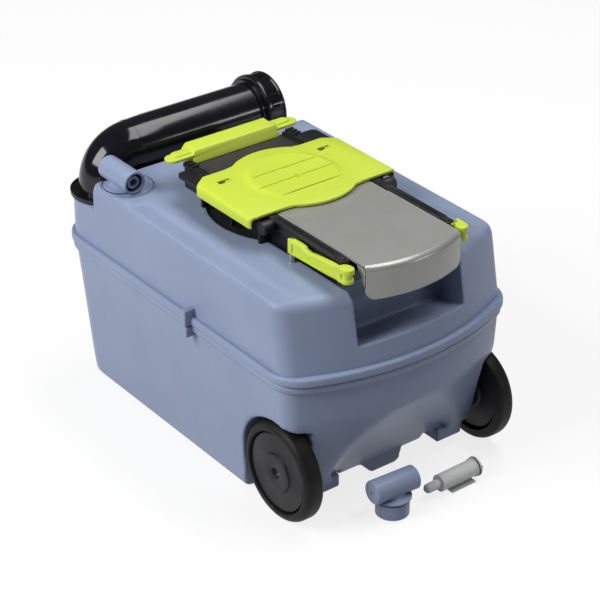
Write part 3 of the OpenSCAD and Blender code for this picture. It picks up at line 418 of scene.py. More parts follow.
# %% [markdown]
# ## Materials
# Each finish is a Principled shader fed by the shared groups. The blue-grey tank has a soft sheen,
# the lime pieces are satin, the spout is glossy black, and the grip has a thin coat of silver paint.

# %% Material builders
PLASTIC_GRAIN = 0.0004
METAL_GRAIN = 0.0003


def group_node(tree, group, **values):
    """A group's node, with its inputs set by their names with underscores for spaces."""
    made = node(tree, "ShaderNodeGroup")
    made.node_tree = group
    feed(tree, made, {label.replace("_", " "): value for label, value in values.items()})
    return made


def moulded(tree, where, colour, cloud, rubbed, clouds, grain, rub, rough):
    """The shared surface with one material's colours and amounts."""
    return group_node(tree, MOULDED, Vector=where, Colour=(*colour, 1), Cloud_colour=(*cloud, 1),
                      Rubbed_colour=(*rubbed, 1), Cloud_scale=clouds, Grain_scale=grain[0],
                      Grain_depth=grain[1], Rubbed_amount=rub, Roughness_low=rough[0],
                      Roughness_high=rough[1])


def new_material(name):
    """A material with its node tree, its Principled shader and the object's own coordinates."""
    material = bpy.data.materials.new(name)
    material.use_nodes = True
    tree = material.node_tree
    where = node(tree, "ShaderNodeTexCoord").outputs["Object"]
    return material, tree, tree.nodes["Principled BSDF"], where


def bump_node(tree, height, strength, distance):
    lift = node(tree, "ShaderNodeBump")
    feed(tree, lift, {"Strength": strength, "Distance": distance, "Height": height})
    return lift.outputs["Normal"]


def plastic(name, colour, cloud, rubbed, rough, grain=(900.0, 0.5), bump=0.05, rub=0.3,
            clouds=14.0, ior=1.46, gloss=0.5):
    material, tree, shader, where = new_material(name)
    surface = moulded(tree, where, colour, cloud, rubbed, clouds, grain, rub, rough)
    normal = bump_node(tree, surface.outputs["Height"], bump, PLASTIC_GRAIN)
    feed(tree, shader, {"Base Color": surface.outputs["Colour"], "Roughness": surface.outputs["Roughness"],
                        "Normal": normal, "IOR": ior, "Specular IOR Level": gloss})
    return material


def metal(name, colour, dark, rough, stretch, scale, amount, metallic=1.0, bump=0.03):
    material, tree, shader, where = new_material(name)
    marks = group_node(tree, MARKS, Vector=where, Stretch=stretch, Scale=scale, Amount=amount).outputs["Mask"]
    surface = moulded(tree, where, colour, dark, colour, 22.0, (1400.0, 0.4), 0.1, rough)
    height = math_node(tree, "SUBTRACT", surface.outputs["Height"], marks)
    feed(tree, shader, {"Base Color": mix_colour(tree, marks, surface.outputs["Colour"], (*dark, 1)),
                        "Roughness": surface.outputs["Roughness"], "Metallic": metallic,
                        "Normal": bump_node(tree, height, bump, METAL_GRAIN)})
    return material


print("material builders ready")

# %% [markdown]
# The colours are linear values: the finish's own colour, the colour of its soft clouds and the
# colour where it is rubbed. The pair after them is the lowest and highest roughness. Each solid
# gets the finish that its material slot names, so that inner pieces are finished too.

# %% The finishes
TANK_BLUE = plastic("tank_blue_plastic", (0.262, 0.315, 0.455), (0.250, 0.302, 0.438),
                    (0.300, 0.352, 0.490), (0.33, 0.42), bump=0.06, rub=0.25, gloss=0.27)
LIME = plastic("lime_plastic", (0.58, 0.71, 0.060), (0.55, 0.68, 0.055), (0.62, 0.75, 0.10),
               (0.36, 0.46), bump=0.04, rub=0.25)
BLACK_GLOSS = plastic("glossy_black_plastic", (0.006, 0.006, 0.009), (0.008, 0.008, 0.011),
                      (0.02, 0.02, 0.024), (0.10, 0.20), bump=0.02, rub=0.12, ior=1.45)
BLACK = plastic("matt_black_plastic", (0.009, 0.009, 0.012), (0.013, 0.013, 0.016),
                (0.03, 0.03, 0.033), (0.38, 0.52), bump=0.08, rub=0.25)
DARK_GREY = plastic("dark_grey_plastic", (0.033, 0.032, 0.037), (0.028, 0.027, 0.031),
                    (0.055, 0.054, 0.06), (0.42, 0.55), bump=0.08, rub=0.25)
WHEEL_GREY = plastic("wheel_plastic", (0.019, 0.019, 0.021), (0.014, 0.014, 0.016),
                     (0.04, 0.04, 0.042), (0.40, 0.55), bump=0.12, rub=0.35, clouds=30.0, gloss=0.28)
PALE_GREY = plastic("light_grey_plastic", (0.66, 0.67, 0.66), (0.62, 0.63, 0.62),
                    (0.70, 0.71, 0.70), (0.30, 0.40), bump=0.04)
RUBBER = plastic("black_rubber", (0.006, 0.006, 0.0065), (0.010, 0.010, 0.0105),
                 (0.022, 0.022, 0.022), (0.45, 0.6), bump=0.1, gloss=0.22)
FOAM = plastic("closed_cell_foam", (0.68, 0.65, 0.57), (0.62, 0.59, 0.51), (0.72, 0.70, 0.62),
               (0.8, 0.95), grain=(420.0, 1.0), bump=0.35)
SILVER = metal("silver_paint", (0.355, 0.355, 0.332), (0.335, 0.335, 0.312), (0.20, 0.27),
               (1.0, 0.04, 1.0), 500.0, 0.10, metallic=0.2, bump=0.012)
STEEL = metal("drawn_steel", (0.60, 0.61, 0.62), (0.42, 0.42, 0.43), (0.22, 0.35),
              (0.05, 1.0, 1.0), 700.0, 0.35)
FINISH = {"tank_blue": TANK_BLUE, "lime": LIME, "black_gloss": BLACK_GLOSS, "black": BLACK,
          "dark_grey": DARK_GREY, "wheel_grey": WHEEL_GREY, "silver": SILVER, "steel": STEEL,
          "rubber": RUBBER, "pale_grey": PALE_GREY, "foam": FOAM}
for part, obj in frame["nodes"].items():
    obj.data.materials.clear()
    obj.data.materials.append(FINISH[SLOT_OF[part]])
print("materials:", len(FINISH))

# %% [markdown]
# ## Tank outline
# Seen from above the tank is a rounded rectangle whose front wall bows out on one large arc. One
# function gives that outline at any amount drawn in, so the upper shell, the lower shell and both
# halves of the seam flange come from the same curve.

# %% Outline in plan
ARC_STEPS = 14
BOW_STEPS = 40


def bow_radius(half, bow):
    """Radius of an arc that is two halves wide and bows out by bow."""
    return (half * half + bow * bow) / (2 * bow)


def arc(cx, cy, r, start, end, steps):
    """Points of an arc between two angles in degrees."""
    angles = np.radians(np.linspace(start, end, steps + 1))
    return [(cx + r * math.cos(a), cy + r * math.sin(a)) for a in angles]


def tank_outline(z, side, front, rear, corner, rear_corner, bow=FRONT_BOW):
    """Points of the outline at height z, drawn in by side, front and rear amounts."""
    half = HALF_W - side
    y_front = front - HALF_L
    y_rear = HALF_L - rear
    big = bow_radius(half, bow)
    centre = y_front - bow + big
    x = half - corner
    y = centre - math.sqrt((big - corner) ** 2 - x * x)
    meet = math.degrees(math.atan2(y - centre, x))
    points = arc(half - rear_corner, y_rear - rear_corner, rear_corner, 0, 90, ARC_STEPS)
    points += arc(rear_corner - half, y_rear - rear_corner, rear_corner, 90, 180, ARC_STEPS)
    points += arc(-x, y, corner, 180, 180 - meet, ARC_STEPS)
    points += arc(0, centre, big, 180 - meet, 360 + meet, BOW_STEPS)
    points += arc(x, y, corner, 360 + meet, 360, ARC_STEPS)
    return [(a, b, z) for a, b in points]


print("outline points:", len(tank_outline(SEAM, 0, 0, 0, FRONT_CORNER, REAR_CORNER)))

# %% [markdown]
# ## Upper shell
# The real shell is blow moulded: one soft skin with generous radii and no crisp edges. It is made
# here as a loft with a rounded top edge, the pockets are cut out of it, and the result is remeshed
# and relaxed so that every remaining edge gets the small radius that a mould leaves.

# %% Upper shell form
TOP_ROUND = 10.0
TOP_ROUND_IN = 8.0
BAND_X = 105.0
BAND_W = 7.0
BAND_DROP = 2.4
BAND_FRONT = -172.0
BAND_L = 236.0
LEDGE_FRONT = 128.0
SWIVEL_POCKET_R = 36.0
CAP_POCKET_R = 37.6
CAP_POCKET_X = 78.5
RECESS_R = 80.2
RECESS_DEPTH = 7.0
TRAY_HALF = 63.0
TRAY_DEPTH = 5.0
HAND_FLOOR = 176.0
HAND_REAR = -172.0
HAND_RISE = 0.22
VENT_SEAT_AT = (VENT[0] + 5.5, VENT[1] - 2.5)
VENT_SEAT_R = 27.0
VENT_SEAT_H = 14.0
# Holes in the top as (place, radius, foot, height); the last one seats the vent's flange
SHELL_HOLES = ((INLET, 48.3, 100, 200), (SWIVEL, 25.8, 100, 160), (VENT, 16.6, 180, 100),
               (VENT, 18.0, TOP - 0.6, 40))


def upper_form(name, t):
    """The outside of the upper shell, or the space inside it when t is the wall."""
    rings = [tank_outline(SEAM + (0 if t == 0 else -1), t, t, t, FRONT_CORNER - t / 2, REAR_CORNER - t)]
    edge = TOP - TOP_ROUND - t
    for k in range(9):
        a = math.radians(90 * k / 8)
        z = edge + TOP_ROUND * math.sin(a)
        inset = 0.4 + t + TOP_ROUND_IN * (1 - math.cos(a))
        lean = FRONT_LEAN * (z - SEAM)
        rings.append(tank_outline(z, inset, inset + lean, inset, FRONT_CORNER - inset * 0.5,
                                  REAR_CORNER - inset * 0.5))
    return loft(name, rings)


def pockets(t):
    """Solids for everything that is sunk into the upper shell, grown by t."""
    floor_z = HAND_FLOOR - t
    hand = [(HAND_REAR + t, floor_z), (HAND_REAR + t, ABOVE), (AHEAD, ABOVE),
            (AHEAD, floor_z + HAND_RISE * (HAND_REAR - AHEAD))]
    return [
        block("spout ledge", (-ASIDE, LEDGE_FRONT - t, LEDGE - t), (ASIDE, BEHIND, ABOVE)),
        rod("swivel pocket", SWIVEL_POCKET_R + t, (*SWIVEL, LEDGE - t), UP, 120),
        rod("cap pocket", CAP_POCKET_R + t, (CAP_POCKET_X - t, SWIVEL[1], PIPE_Z), RIGHT, 120),
        rod("round recess", RECESS_R + t, (*INLET, TOP - RECESS_DEPTH - t), UP, 60),
        block("tray pocket", (-TRAY_HALF - t, -260, TOP - TRAY_DEPTH - t), (TRAY_HALF + t, INLET[1], ABOVE)),
        prism("grip recess", hand, "x", -TRAY_HALF - t, 2 * TRAY_HALF + 2 * t),
    ]


def side_band(side):
    """Cuts the soft lower band along the top's long edges."""
    steps = [(BAND_X + BAND_W * k / 8, TOP - BAND_DROP * 0.5 * (1 - math.cos(math.pi * k / 8)))
             for k in range(9)]
    outline = [(side * x, z) for x, z in steps]
    outline += [(side * 150, TOP - BAND_DROP), (side * 150, TOP + 20), (side * BAND_X, TOP + 20)]
    return prism("side band", outline, "y", BAND_FRONT, BAND_L)


def make_upper_shell():
    shell = upper_form("upper_shell_skin", 0)
    cut(shell, side_band(-1), side_band(1))
    seat = rod("vent seat", VENT_SEAT_R, (*VENT_SEAT_AT, TOP - VENT_SEAT_H), UP, VENT_SEAT_H)
    cut(seat, block("seat trim", (-ASIDE, 0, 0), (-HALF_W + 1.2, BEHIND, 300)))
    join(shell, seat)
    cut(shell, *pockets(0))
    inside = upper_form("inside", WALL)
    cut(inside, *pockets(WALL))
    cut(shell, inside)
    cut(shell, *[rod("hole", r, (*at, foot), UP, height) for at, r, foot, height in SHELL_HOLES])
    soften_skin(shell, 1.5, 7, 0.42)
    groove = lathe("seat groove", [(25.1, 0), (26.4, 0), (26.4, 20), (25.1, 20)],
                   (*VENT_SEAT_AT, TOP - 1.3), UP, 128)
    return cut(shell, groove)


upper = make_upper_shell()
dress(upper, TANK_BLUE, "upper_shell")
print("upper shell form ready")

# %% [markdown]
# ## Lower shell
# The lower half carries the wheel wells and the hollow feet. Its front drops straight from the
# seam and then slopes in like a boat's bow, with a narrower hull in the middle. The slopes are cut
# with flat tools and softened with more rounds of relaxing than the upper shell gets.

# %% Lower shell form
WELL_R = 55.2
WELL_X = 104.0
WELL_W = 60.0
HULL_HALF = 52.0
HULL_FLARE = 24.0
HULL_TOP = 106.0
HULL_FOOT = (-166.0, 16.0)
FOOT_BOW = 7
CREASE_HALF = 98.0
CREASE_REAR = -164.0
CREASE_Z = (31.0, 120.0)


def lower_form(name, t):
    """The outside of the lower shell, or the space inside it when t is the wall."""
    # Each level is (z, side, front and rear drawn in, front corner, rear corner, bow)
    levels = [
        (SEAM + (0 if t == 0 else 1), 0, 0, 0, FRONT_CORNER, REAR_CORNER, FRONT_BOW),
        (111, 2.6, 0.6, 4.0, FRONT_CORNER, REAR_CORNER, FRONT_BOW),
        (26, 7.5, 10.5, 11.7, FRONT_CORNER - 2, REAR_CORNER - 2, FOOT_BOW),
        (10 + t, 8.6, 12.5, 13.2, FRONT_CORNER - 2, REAR_CORNER - 2, FOOT_BOW),
        (5.2 + t, 9.6, 13.5, 14.0, FRONT_CORNER - 3, REAR_CORNER - 4, FOOT_BOW),
        (2 + t, 11.8, 15.5, 16.2, FRONT_CORNER - 4, REAR_CORNER - 6, FOOT_BOW),
        (0.4 + t, 15, 18, 19.5, FRONT_CORNER - 6, REAR_CORNER - 8, FOOT_BOW),
        (t, 18, 20, 22.5, FRONT_CORNER - 8, REAR_CORNER - 10, FOOT_BOW),
    ]
    rings = [tank_outline(z, s + t, f + t, r + t, c - t / 2, rc - t, b) for z, s, f, r, c, rc, b in levels]
    return loft(name, rings)


def front_slope(t):
    """The middle of the front, which slopes in more and is wider towards its foot."""
    foot_y, foot_z = HULL_FOOT
    slope = [(-HALF_L - FRONT_BOW + 4 + t, HULL_TOP), (foot_y + t, foot_z), (foot_y + t, BELOW),
             (AHEAD, BELOW),
             (AHEAD, HULL_TOP)]
    hull = prism("hull", slope, "x", -160, 320)
    half, foot = HULL_HALF + t, HULL_HALF + HULL_FLARE + t
    face = [(-half, HULL_TOP + 1), (-foot, foot_z), (-foot, BELOW), (foot, BELOW), (foot, foot_z),
            (half, HULL_TOP + 1)]
    return combine(hull, [prism("hull face", face, "y", -260, 260)], "INTERSECT")


def underside(t):
    """Solids for the steps and the slope that are cut from below, grown by t."""
    steps = [side_block("side step", side, (HULL_HALF - t, ASIDE), (AHEAD, -132 + t), (BELOW, 26 + t))
             for side in (-1, 1)]
    return [block("step", (-ASIDE, AHEAD, BELOW), (ASIDE, -112 + t, 16 + t)), *steps, front_slope(t)]


def wheel_well(side, t):
    across = (WELL_X - t, WELL_X - t + WELL_W)
    return [
        rod("well", WELL_R + t, (side * (WELL_X - t), *AXLE), (side, 0, 0), WELL_W),
        side_block("well front", side, across, (AHEAD, AXLE[0] - 22), (BELOW, AXLE[1] + 49.4 + t)),
        side_block("well foot", side, across, (AHEAD, AXLE[0] + WELL_R + t), (BELOW, AXLE[1])),
    ]


def feet(t):
    """The three feet, or their hollows behind the wall of the slope when t is the wall."""
    outline = [(-13 + t, 4.5 + t), (18 - t, 4.5 + t), (22 - t, 8 + t), (25 - t, 19.5 + t),
               (-26 + t, 19.5 + t)]
    made = [prism("middle foot", outline, "y", -170 + t, 40 - 2 * t)]
    made += [side_block("side foot", side, (61 + t, 92 - t), (-181 + t, -141 - t), (15 + t, 29))
             for side in (-1, 1)]
    if t > 0:
        for foot in made:
            cut(foot, front_slope(t))
    return made


def front_crease(point):
    """True where the front's slopes meet, which the mould rounds most."""
    x, y, z = point / MM
    return abs(x) < CREASE_HALF and y < CREASE_REAR and CREASE_Z[0] < z < CREASE_Z[1]


def make_lower_shell():
    shell = lower_form("lower_shell_skin", 0)
    cut(shell, *underside(0), *wheel_well(-1, 0), *wheel_well(1, 0))
    join(shell, *feet(0))
    inside = lower_form("inside", WALL)
    cut(inside, *underside(WALL), *wheel_well(-1, WALL), *wheel_well(1, WALL))
    cut(shell, inside, *feet(WALL))
    join(shell, rod("axle tunnel", 8, (-108, *AXLE), RIGHT, 216))
    cut(shell, rod("axle hole", 4.03, (-140, *AXLE), RIGHT, 280))
    return soften_skin(shell, 1.7, 8, 0.40, front_crease)


lower = make_lower_shell()
dress(lower, TANK_BLUE, "lower_shell")
print("lower shell form ready")

# %% [markdown]
# ## Seam flange
# The two shells are welded on a flange that stands out of the walls. Its upper half has a rounded
# top edge and its lower half is a little narrower, so a thin dark line shows between them. Each half
# is a ring: its outer face is a loft through a few levels and its inner face lies in the wall.

# %% Flange rings and side bosses
FLANGE_FRONT_CORNER = FRONT_CORNER + 15
FLANGE_REAR_CORNER = FRONT_CORNER + 19
FLANGE_IN = 1.4
BOSS_FRONT = -47.0
BOSS_REAR = -39.8


def flange_rings(levels):
    """Rings of the seam flange, which stands out of the walls; each level is (z, drawn in)."""
    rings = []
    for z, inset in levels:
        out = inset - FLANGE_OUT
        rings.append(tank_outline(z, out, out, out, FLANGE_FRONT_CORNER - inset, FLANGE_REAR_CORNER - inset))
    return rings


def ring_band(name, levels):
    """A closed ring round the tank from outer levels of (z, drawn in)."""
    outer = flange_rings(levels)
    inner = flange_rings([(levels[k][0], FLANGE_OUT + FLANGE_IN) for k in (-1, 0)])
    return loft(name, outer + inner + outer[:1], capped=False)


def boss_pair(name, low_z, high_z, reach):
    """The small upright bosses that line the two shells up, one on each side wall."""
    bosses = [side_block(name, side, (HALF_W - 2.0, HALF_W + reach), (BOSS_FRONT, BOSS_REAR), (low_z, high_z))
              for side in (-1, 1)]
    return [bevel(boss, 1.4, 3) for boss in bosses]


def merge_pieces(name, pieces):
    """One object from several closed pieces, which keep their own faces."""
    bm = bmesh.new()
    for piece in pieces:
        bm.from_mesh(piece.data)
    mesh = bpy.data.meshes.new(name)
    bm.to_mesh(mesh)
    bm.free()
    for piece in pieces:
        bpy.data.objects.remove(piece)
    return linked(name, mesh)


def make_flange(name, levels, boss_low, boss_high, reach):
    band = shade(ring_band(name + " ring", levels), 40)
    return merge_pieces(name, [band, *boss_pair(name + " boss", boss_low, boss_high, reach)])


UPPER_LEVELS = [(SEAM + 0.25, 1.5), (SEAM + 0.5, 0.7), (SEAM + 1.4, 0.1), (SEAM + 2.6, 0.0),
                (SEAM + 6.4, 0.1), (SEAM + 7.8, 0.5), (SEAM + 8.6, 1.3), (SEAM + 9.0, 2.6),
                (SEAM + 8.7, 3.8), (SEAM + 8.2, 5.0)]
LOWER_LEVELS = [(SEAM - 8.4, 4.8), (SEAM - 8.0, 3.2), (SEAM - 7.2, 2.2), (SEAM - 6.0, 1.7),
                (SEAM - 2.0, 1.5), (SEAM - 1.2, 1.7), (SEAM - 0.5, 2.6), (SEAM - 0.25, 3.6)]
upper_flange = make_flange("upper_shell_flange", UPPER_LEVELS, SEAM + 0.3, SEAM + 17.6, 11.8)
dress(upper_flange, TANK_BLUE, "upper_shell")
lower_flange = make_flange("lower_shell_flange", LOWER_LEVELS, SEAM - 11.6, SEAM - 0.3, 10.6)
dress(lower_flange, TANK_BLUE, "lower_shell")
print("flange faces", len(upper_flange.data.polygons), len(lower_flange.data.polygons))

# %% [markdown]
# ## Spout
# The spout is one glossy black pipe. It stands in the swivel socket, turns through a quarter bend
# and widens gently into the straight pipe. Circles of changing radius are set along that path, out
# on the outer face and back on the inner one, so the pipe is hollow with an open mouth.

# %% Spout sweep
PIPE_WALL = 2.6
BEND_R = 30.0
LEG_R = 25.5
LEG_FOOT = LEDGE - 18.0
BEND_TUBE_R = 27.4
PIPE_R = 29.5
WIDEN_L = 60.0
MOUTH_X = 100.4
CAP_START = 83.7
THREAD_R = 31.6
# Profiles of a raised ring and of a thread's turn, as (place along the pipe, radius)
RAISED_RING = ((0, PIPE_R), (0.02, 32.7), (0.3, 33.2), (0.9, 33.2), (1.18, 32.7), (1.2, PIPE_R))
THREAD_TURN = ((-0.4, PIPE_R), (0, THREAD_R - 0.3), (0.6, THREAD_R), (1.4, THREAD_R),
               (2, THREAD_R - 0.3), (2.4, PIPE_R))


def ease(t):
    """A soft step from 0 to 1."""
    t = min(max(t, 0.0), 1.0)
    return t * t * (3 - 2 * t)


def leg_station(z, r):
    return ((SWIVEL[0], SWIVEL[1], z), 0.0, r)


def pipe_station(x, r):
    return ((x, SWIVEL[1], PIPE_Z), 90.0, r)


def bend_station(angle, r):
    a = math.radians(angle)
    return ((SWIVEL[0] + BEND_R * (1 - math.cos(a)), SWIVEL[1], PIPE_Z - BEND_R + BEND_R * math.sin(a)),
            angle, r)


def widened(step):
    """Radius of the pipe at a place in its slow widening after the bend."""
    return BEND_TUBE_R + (PIPE_R - BEND_TUBE_R) * ease(step / WIDEN_L)


def spout_stations():
    """Places along the outside as (centre, angle from upright, radius)."""
    made = [leg_station(z, r) for z, r in
            ((LEG_FOOT, LEG_R - 0.6), (LEG_FOOT + 0.6, LEG_R), (LEDGE - 9, LEG_R),
             (LEDGE - 8.98, LEG_R - 1.5), (LEDGE - 7.02, LEG_R - 1.5), (LEDGE - 7, LEG_R),
             (LEDGE + 0.3, LEG_R), (LEDGE + 0.32, 30.0), (LEDGE + 2.88, 30.0), (LEDGE + 2.9, LEG_R))]
    for k in range(4):
        made.append(leg_station(LEDGE + 3.4 + 1.6 * k, LEG_R + 1.9 * ease((3.4 + 1.6 * k) / 30)))
    for k in range(29):
        angle = 90 * k / 28
        grow = LEG_R + (BEND_TUBE_R - LEG_R) * ease((9 + 47 * k / 28) / 44)
        made.append(bend_station(angle, grow + (PIPE_R - BEND_TUBE_R) * ease((angle - 62) / WIDEN_L)))
    start = SWIVEL[0] + BEND_R
    made += [pipe_station(start + 1.5, widened(29.5)), pipe_station(start + 1.7, widened(29.8) + 0.35),
             pipe_station(start + 3.2, widened(31) + 0.35), pipe_station(start + 3.4, widened(31.5))]
    made += [pipe_station(start + 3.4 + 4 * k, widened(31.5 + 4 * k)) for k in range(1, 8)]
    made += [pipe_station(x, PIPE_R) for x in (-20.0, 10.0, 40.0, 70.0)]
    for x in (CAP_START - 4.4, CAP_START - 1.8):
        made += [pipe_station(x + along, r) for along, r in RAISED_RING]
    for x in (MOUTH_X - 12, MOUTH_X - 6):
        made += [pipe_station(x + along, r) for along, r in THREAD_TURN]
    return made + [pipe_station(MOUTH_X - 0.6, PIPE_R), pipe_station(MOUTH_X, PIPE_R - 0.6)]


def spout_inside():
    """Places along the inside, from the mouth back to the foot of the leg."""
    made = [pipe_station(x, PIPE_R - PIPE_WALL) for x in (MOUTH_X, SWIVEL[0] + BEND_R + 9)]
    made += [bend_station(90 - 90 * k / 18, BEND_TUBE_R - PIPE_WALL) for k in range(19)]
    return made + [leg_station(z, LEG_R - PIPE_WALL) for z in (LEDGE + 3, LEG_FOOT)]


def sweep(name, stations, segments=96):
    """A closed tube through rings of points at the stations."""
    rings = []
    for centre, angle, r in stations:
        a = math.radians(angle)
        ring = []
        for k in range(segments):
            t = 2 * math.pi * k / segments
            u, v = r * math.cos(t), r * math.sin(t)
            ring.append((centre[0] - u * math.cos(a), centre[1] + v, centre[2] + u * math.sin(a)))
        rings.append(ring)
    return loft(name, rings + rings[:1], capped=False)


spout = shade(sweep("spout_pipe_skin", spout_stations() + spout_inside()), 28)
dress(spout, BLACK_GLOSS, "spout_pipe")
COLLAR = [(30.4, 0), (34.0, 0), (34.8, 0.3), (35.0, 1.0), (35.0, 4.3), (34.7, 5.0), (34.0, 5.4),
          (33.1, 5.3), (32.4, 4.8), (31.6, 4.4), (27.0, 4.3), (26.2, 4.5), (25.56, 4.4), (25.56, 3.2),
          (30.4, 3.2)]
collar = shade(lathe("spout_collar_skin", COLLAR, (*SWIVEL, LEDGE), UP, 128), 35)
dress(collar, BLACK_GLOSS, "spout_collar")
print("spout faces", len(spout.data.polygons))

# %% [markdown]
# ## Screw cap
# The cap's body is turned on a lathe: a thick rear rim, a ribbed band and a rounded front edge. The
# grip ribs are small bars that stand in six groups of four with plain stretches between them, which
# is a ruled pattern, so Geometry Nodes place them. The number of groups and ribs, the angle between
# ribs and the seed of a slight unevenness in their height are inputs.

# %% Cap ribs with Geometry Nodes
def ring_of_ribs():
    """Node tree that sets copies of one rib round the X axis in groups."""
    tree, start, end = group_with(
        "ring of ribs",
        [("Rib", "NodeSocketGeometry", None), ("Groups", "NodeSocketInt", 6),
         ("Ribs in a group", "NodeSocketInt", 4), ("Angle between ribs", "NodeSocketFloat", 0.157),
         ("Unevenness", "NodeSocketFloat", 0.002), ("Seed", "NodeSocketInt", 7),
         ("Material", "NodeSocketMaterial", None)],
        [("Ribs", "NodeSocketGeometry")], "GeometryNodeTree")
    given = start.outputs
    line = node(tree, "GeometryNodeMeshLine")
    total = math_node(tree, "MULTIPLY", given["Groups"], given["Ribs in a group"])
    feed(tree, line, {"Count": total, "Offset": (0, 0, 0)})
    index = node(tree, "GeometryNodeInputIndex").outputs[0]
    group = math_node(tree, "FLOOR", math_node(tree, "DIVIDE", index, given["Ribs in a group"]))
    spot = math_node(tree, "MODULO", index, given["Ribs in a group"])
    turn = math_node(tree, "DIVIDE", math_node(tree, "MULTIPLY", group, 2 * math.pi), given["Groups"])
    shift = math_node(tree, "MULTIPLY", spot, given["Angle between ribs"])
    rotation = node(tree, "ShaderNodeCombineXYZ")
    feed(tree, rotation, {"X": math_node(tree, "ADD", turn, shift)})
    uneven = node(tree, "FunctionNodeRandomValue", data_type="FLOAT")
    feed(tree, uneven, {2: math_node(tree, "SUBTRACT", 1.0, given["Unevenness"]), "Seed": given["Seed"]})
    copies = node(tree, "GeometryNodeInstanceOnPoints")
    feed(tree, copies, {"Points": line.outputs[0], "Instance": given["Rib"],
                        "Rotation": rotation.outputs[0], "Scale": uneven.outputs[1]})
    real = node(tree, "GeometryNodeRealizeInstances")
    feed(tree, real, {0: copies.outputs[0]})
    paint = node(tree, "GeometryNodeSetMaterial")
    feed(tree, paint, {"Geometry": real.outputs[0], "Material": given["Material"]})
    feed(tree, end, {0: paint.outputs[0]})
    return tree


def set_inputs(modifier, **values):
    """Sets a node modifier's inputs by the identifiers of their sockets."""
    for item in modifier.node_group.interface.items_tree:
        key = item.name.replace(" ", "_")
        if item.in_out == "INPUT" and key in values:
            modifier[item.identifier] = values[key]


CAP_AT = (CAP_START, SWIVEL[1], PIPE_Z)
RIB_ANGLE = math.radians(9)
FIRST_RIB = math.radians(-13.5)
CAP = [(0, 19.2), (32.5, 19.2), (32.5, 0.0), (35.0, 0.0), (36.0, 0.4), (36.5, 1.3), (36.6, 2.4),
       (36.6, 6.0), (36.4, 7.0), (35.6, 7.8), (35.3, 8.4), (35.3, 18.4), (35.9, 18.8), (36.3, 19.4),
       (36.4, 20.2), (36.0, 21.4), (35.2, 22.3), (34.0, 22.8), (32.6, 22.9), (29.0, 22.9),
       (27.6, 22.2), (0, 22.2)]
RIB = [(-1.15, 35.0), (-0.95, 36.0), (-0.6, 36.4), (0.6, 36.4), (0.95, 36.0), (1.15, 35.0)]


def make_ribs():
    """All ribs of the cap, from one bar along the X axis."""
    ribs = shade(prism("cap rib", RIB, "x", 7.0, 12.0), 25)
    modifier = ribs.modifiers.new("ring of ribs", "NODES")
    modifier.node_group = ring_of_ribs()
    set_inputs(modifier, Groups=6, Ribs_in_a_group=4, Angle_between_ribs=RIB_ANGLE, Unevenness=0.002,
               Seed=7, Material=BLACK_GLOSS)
    bake(ribs)
    ribs.data.transform(Matrix.Rotation(FIRST_RIB, 4, "X"))
    ribs.data.transform(Matrix.Translation(Vector(CAP_AT) * MM))
    return ribs


cap_body = shade(lathe("cap body", CAP, CAP_AT, RIGHT, 144), 32)
cap = merge_pieces("spout_cap_skin", [cap_body, make_ribs()])
dress(cap, BLACK_GLOSS, "spout_cap")
print("cap faces", len(cap.data.polygons))

# %% [markdown]
# ## Sliding cover
# The cover is one lime moulding: a flat plate with rounded sides that turn down into skirts, a round
# middle that stands a little proud and pokes out past both long edges, three fine lines with a small
# round mark, and two slots with latch fingers. Its cross-section is pushed along Y, trimmed by the
# plan, and the raised middle is added.

# %% Sliding cover
COVER_LOW = SLIDE + 0.5
COVER_TOP = COVER_LOW + 2.9
COVER_HALF = 87.6
COVER_FRONT = -77.0
COVER_REAR = 21.0
COVER_MID = -28.0
COVER_SIDE_R = 5.0
COVER_SKIRT = 8.0
LOBE_R = 62.0
MIDDLE_R = 50.0
MIDDLE_RISE = 3.0
LINES = ((-13, 37), (-34, 45), (-57, 34))
LINE_R = 0.6
LINE_DEPTH = 0.7
SLOT_X = 60.0
SLOT_HALF = 7.5


def round_corners(points, radii, steps=6):
    """Rounds the corners of a closed plan; each corner has its own radius."""
    made = []
    count = len(points)
    for k, (point, r) in enumerate(zip(points, radii)):
        here = Vector((*point, 0))
        before = (Vector((*points[k - 1], 0)) - here).normalized()
        after = (Vector((*points[(k + 1) % count], 0)) - here).normalized()
        half = before.angle(after) / 2
        if r <= 0 or abs(math.pi / 2 - half) < 1e-3:
            made.append(tuple(point))
            continue
        reach = r / math.tan(half)
        centre = here + (before + after).normalized() * (r / math.sin(half))
        first = here + before * reach - centre
        last = here + after * reach - centre
        turn = first.angle(last)
        for i in range(steps + 1):
            t = i / steps
            spot = centre + (first * math.sin((1 - t) * turn) + last * math.sin(t * turn)) / math.sin(turn)
            made.append((spot.x, spot.y))
    return made


def lobe_points(towards, half, steps=24):
    """The round middle's arc beyond a long edge, with soft inward corners."""
    limit = math.degrees(math.asin(half / LOBE_R))
    return [(LOBE_R * math.sin(math.radians(a)), COVER_MID + towards * LOBE_R * math.cos(math.radians(a)))
            for a in np.linspace(-limit, limit, steps)]


def cover_plan():
    """Outline from above: rounded corners, with the round middle past both long edges."""
    rear = lobe_points(1, 36)[::-1]
    front = lobe_points(-1, 36)
    sharp = [(COVER_HALF, COVER_FRONT), (COVER_HALF, 9.0), (71.6, COVER_REAR), (46.0, COVER_REAR)]
    radii = [5.0, 4.0, 6.0, 14.0]
    points = sharp + rear + [(-x, y) for x, y in sharp[::-1]]
    radii = radii + [0] * len(rear) + radii[::-1]
    points += [(-46.0, COVER_FRONT)] + front + [(46.0, COVER_FRONT)]
    radii += [14.0] + [0] * len(front) + [14.0]
    return round_corners(points, radii)


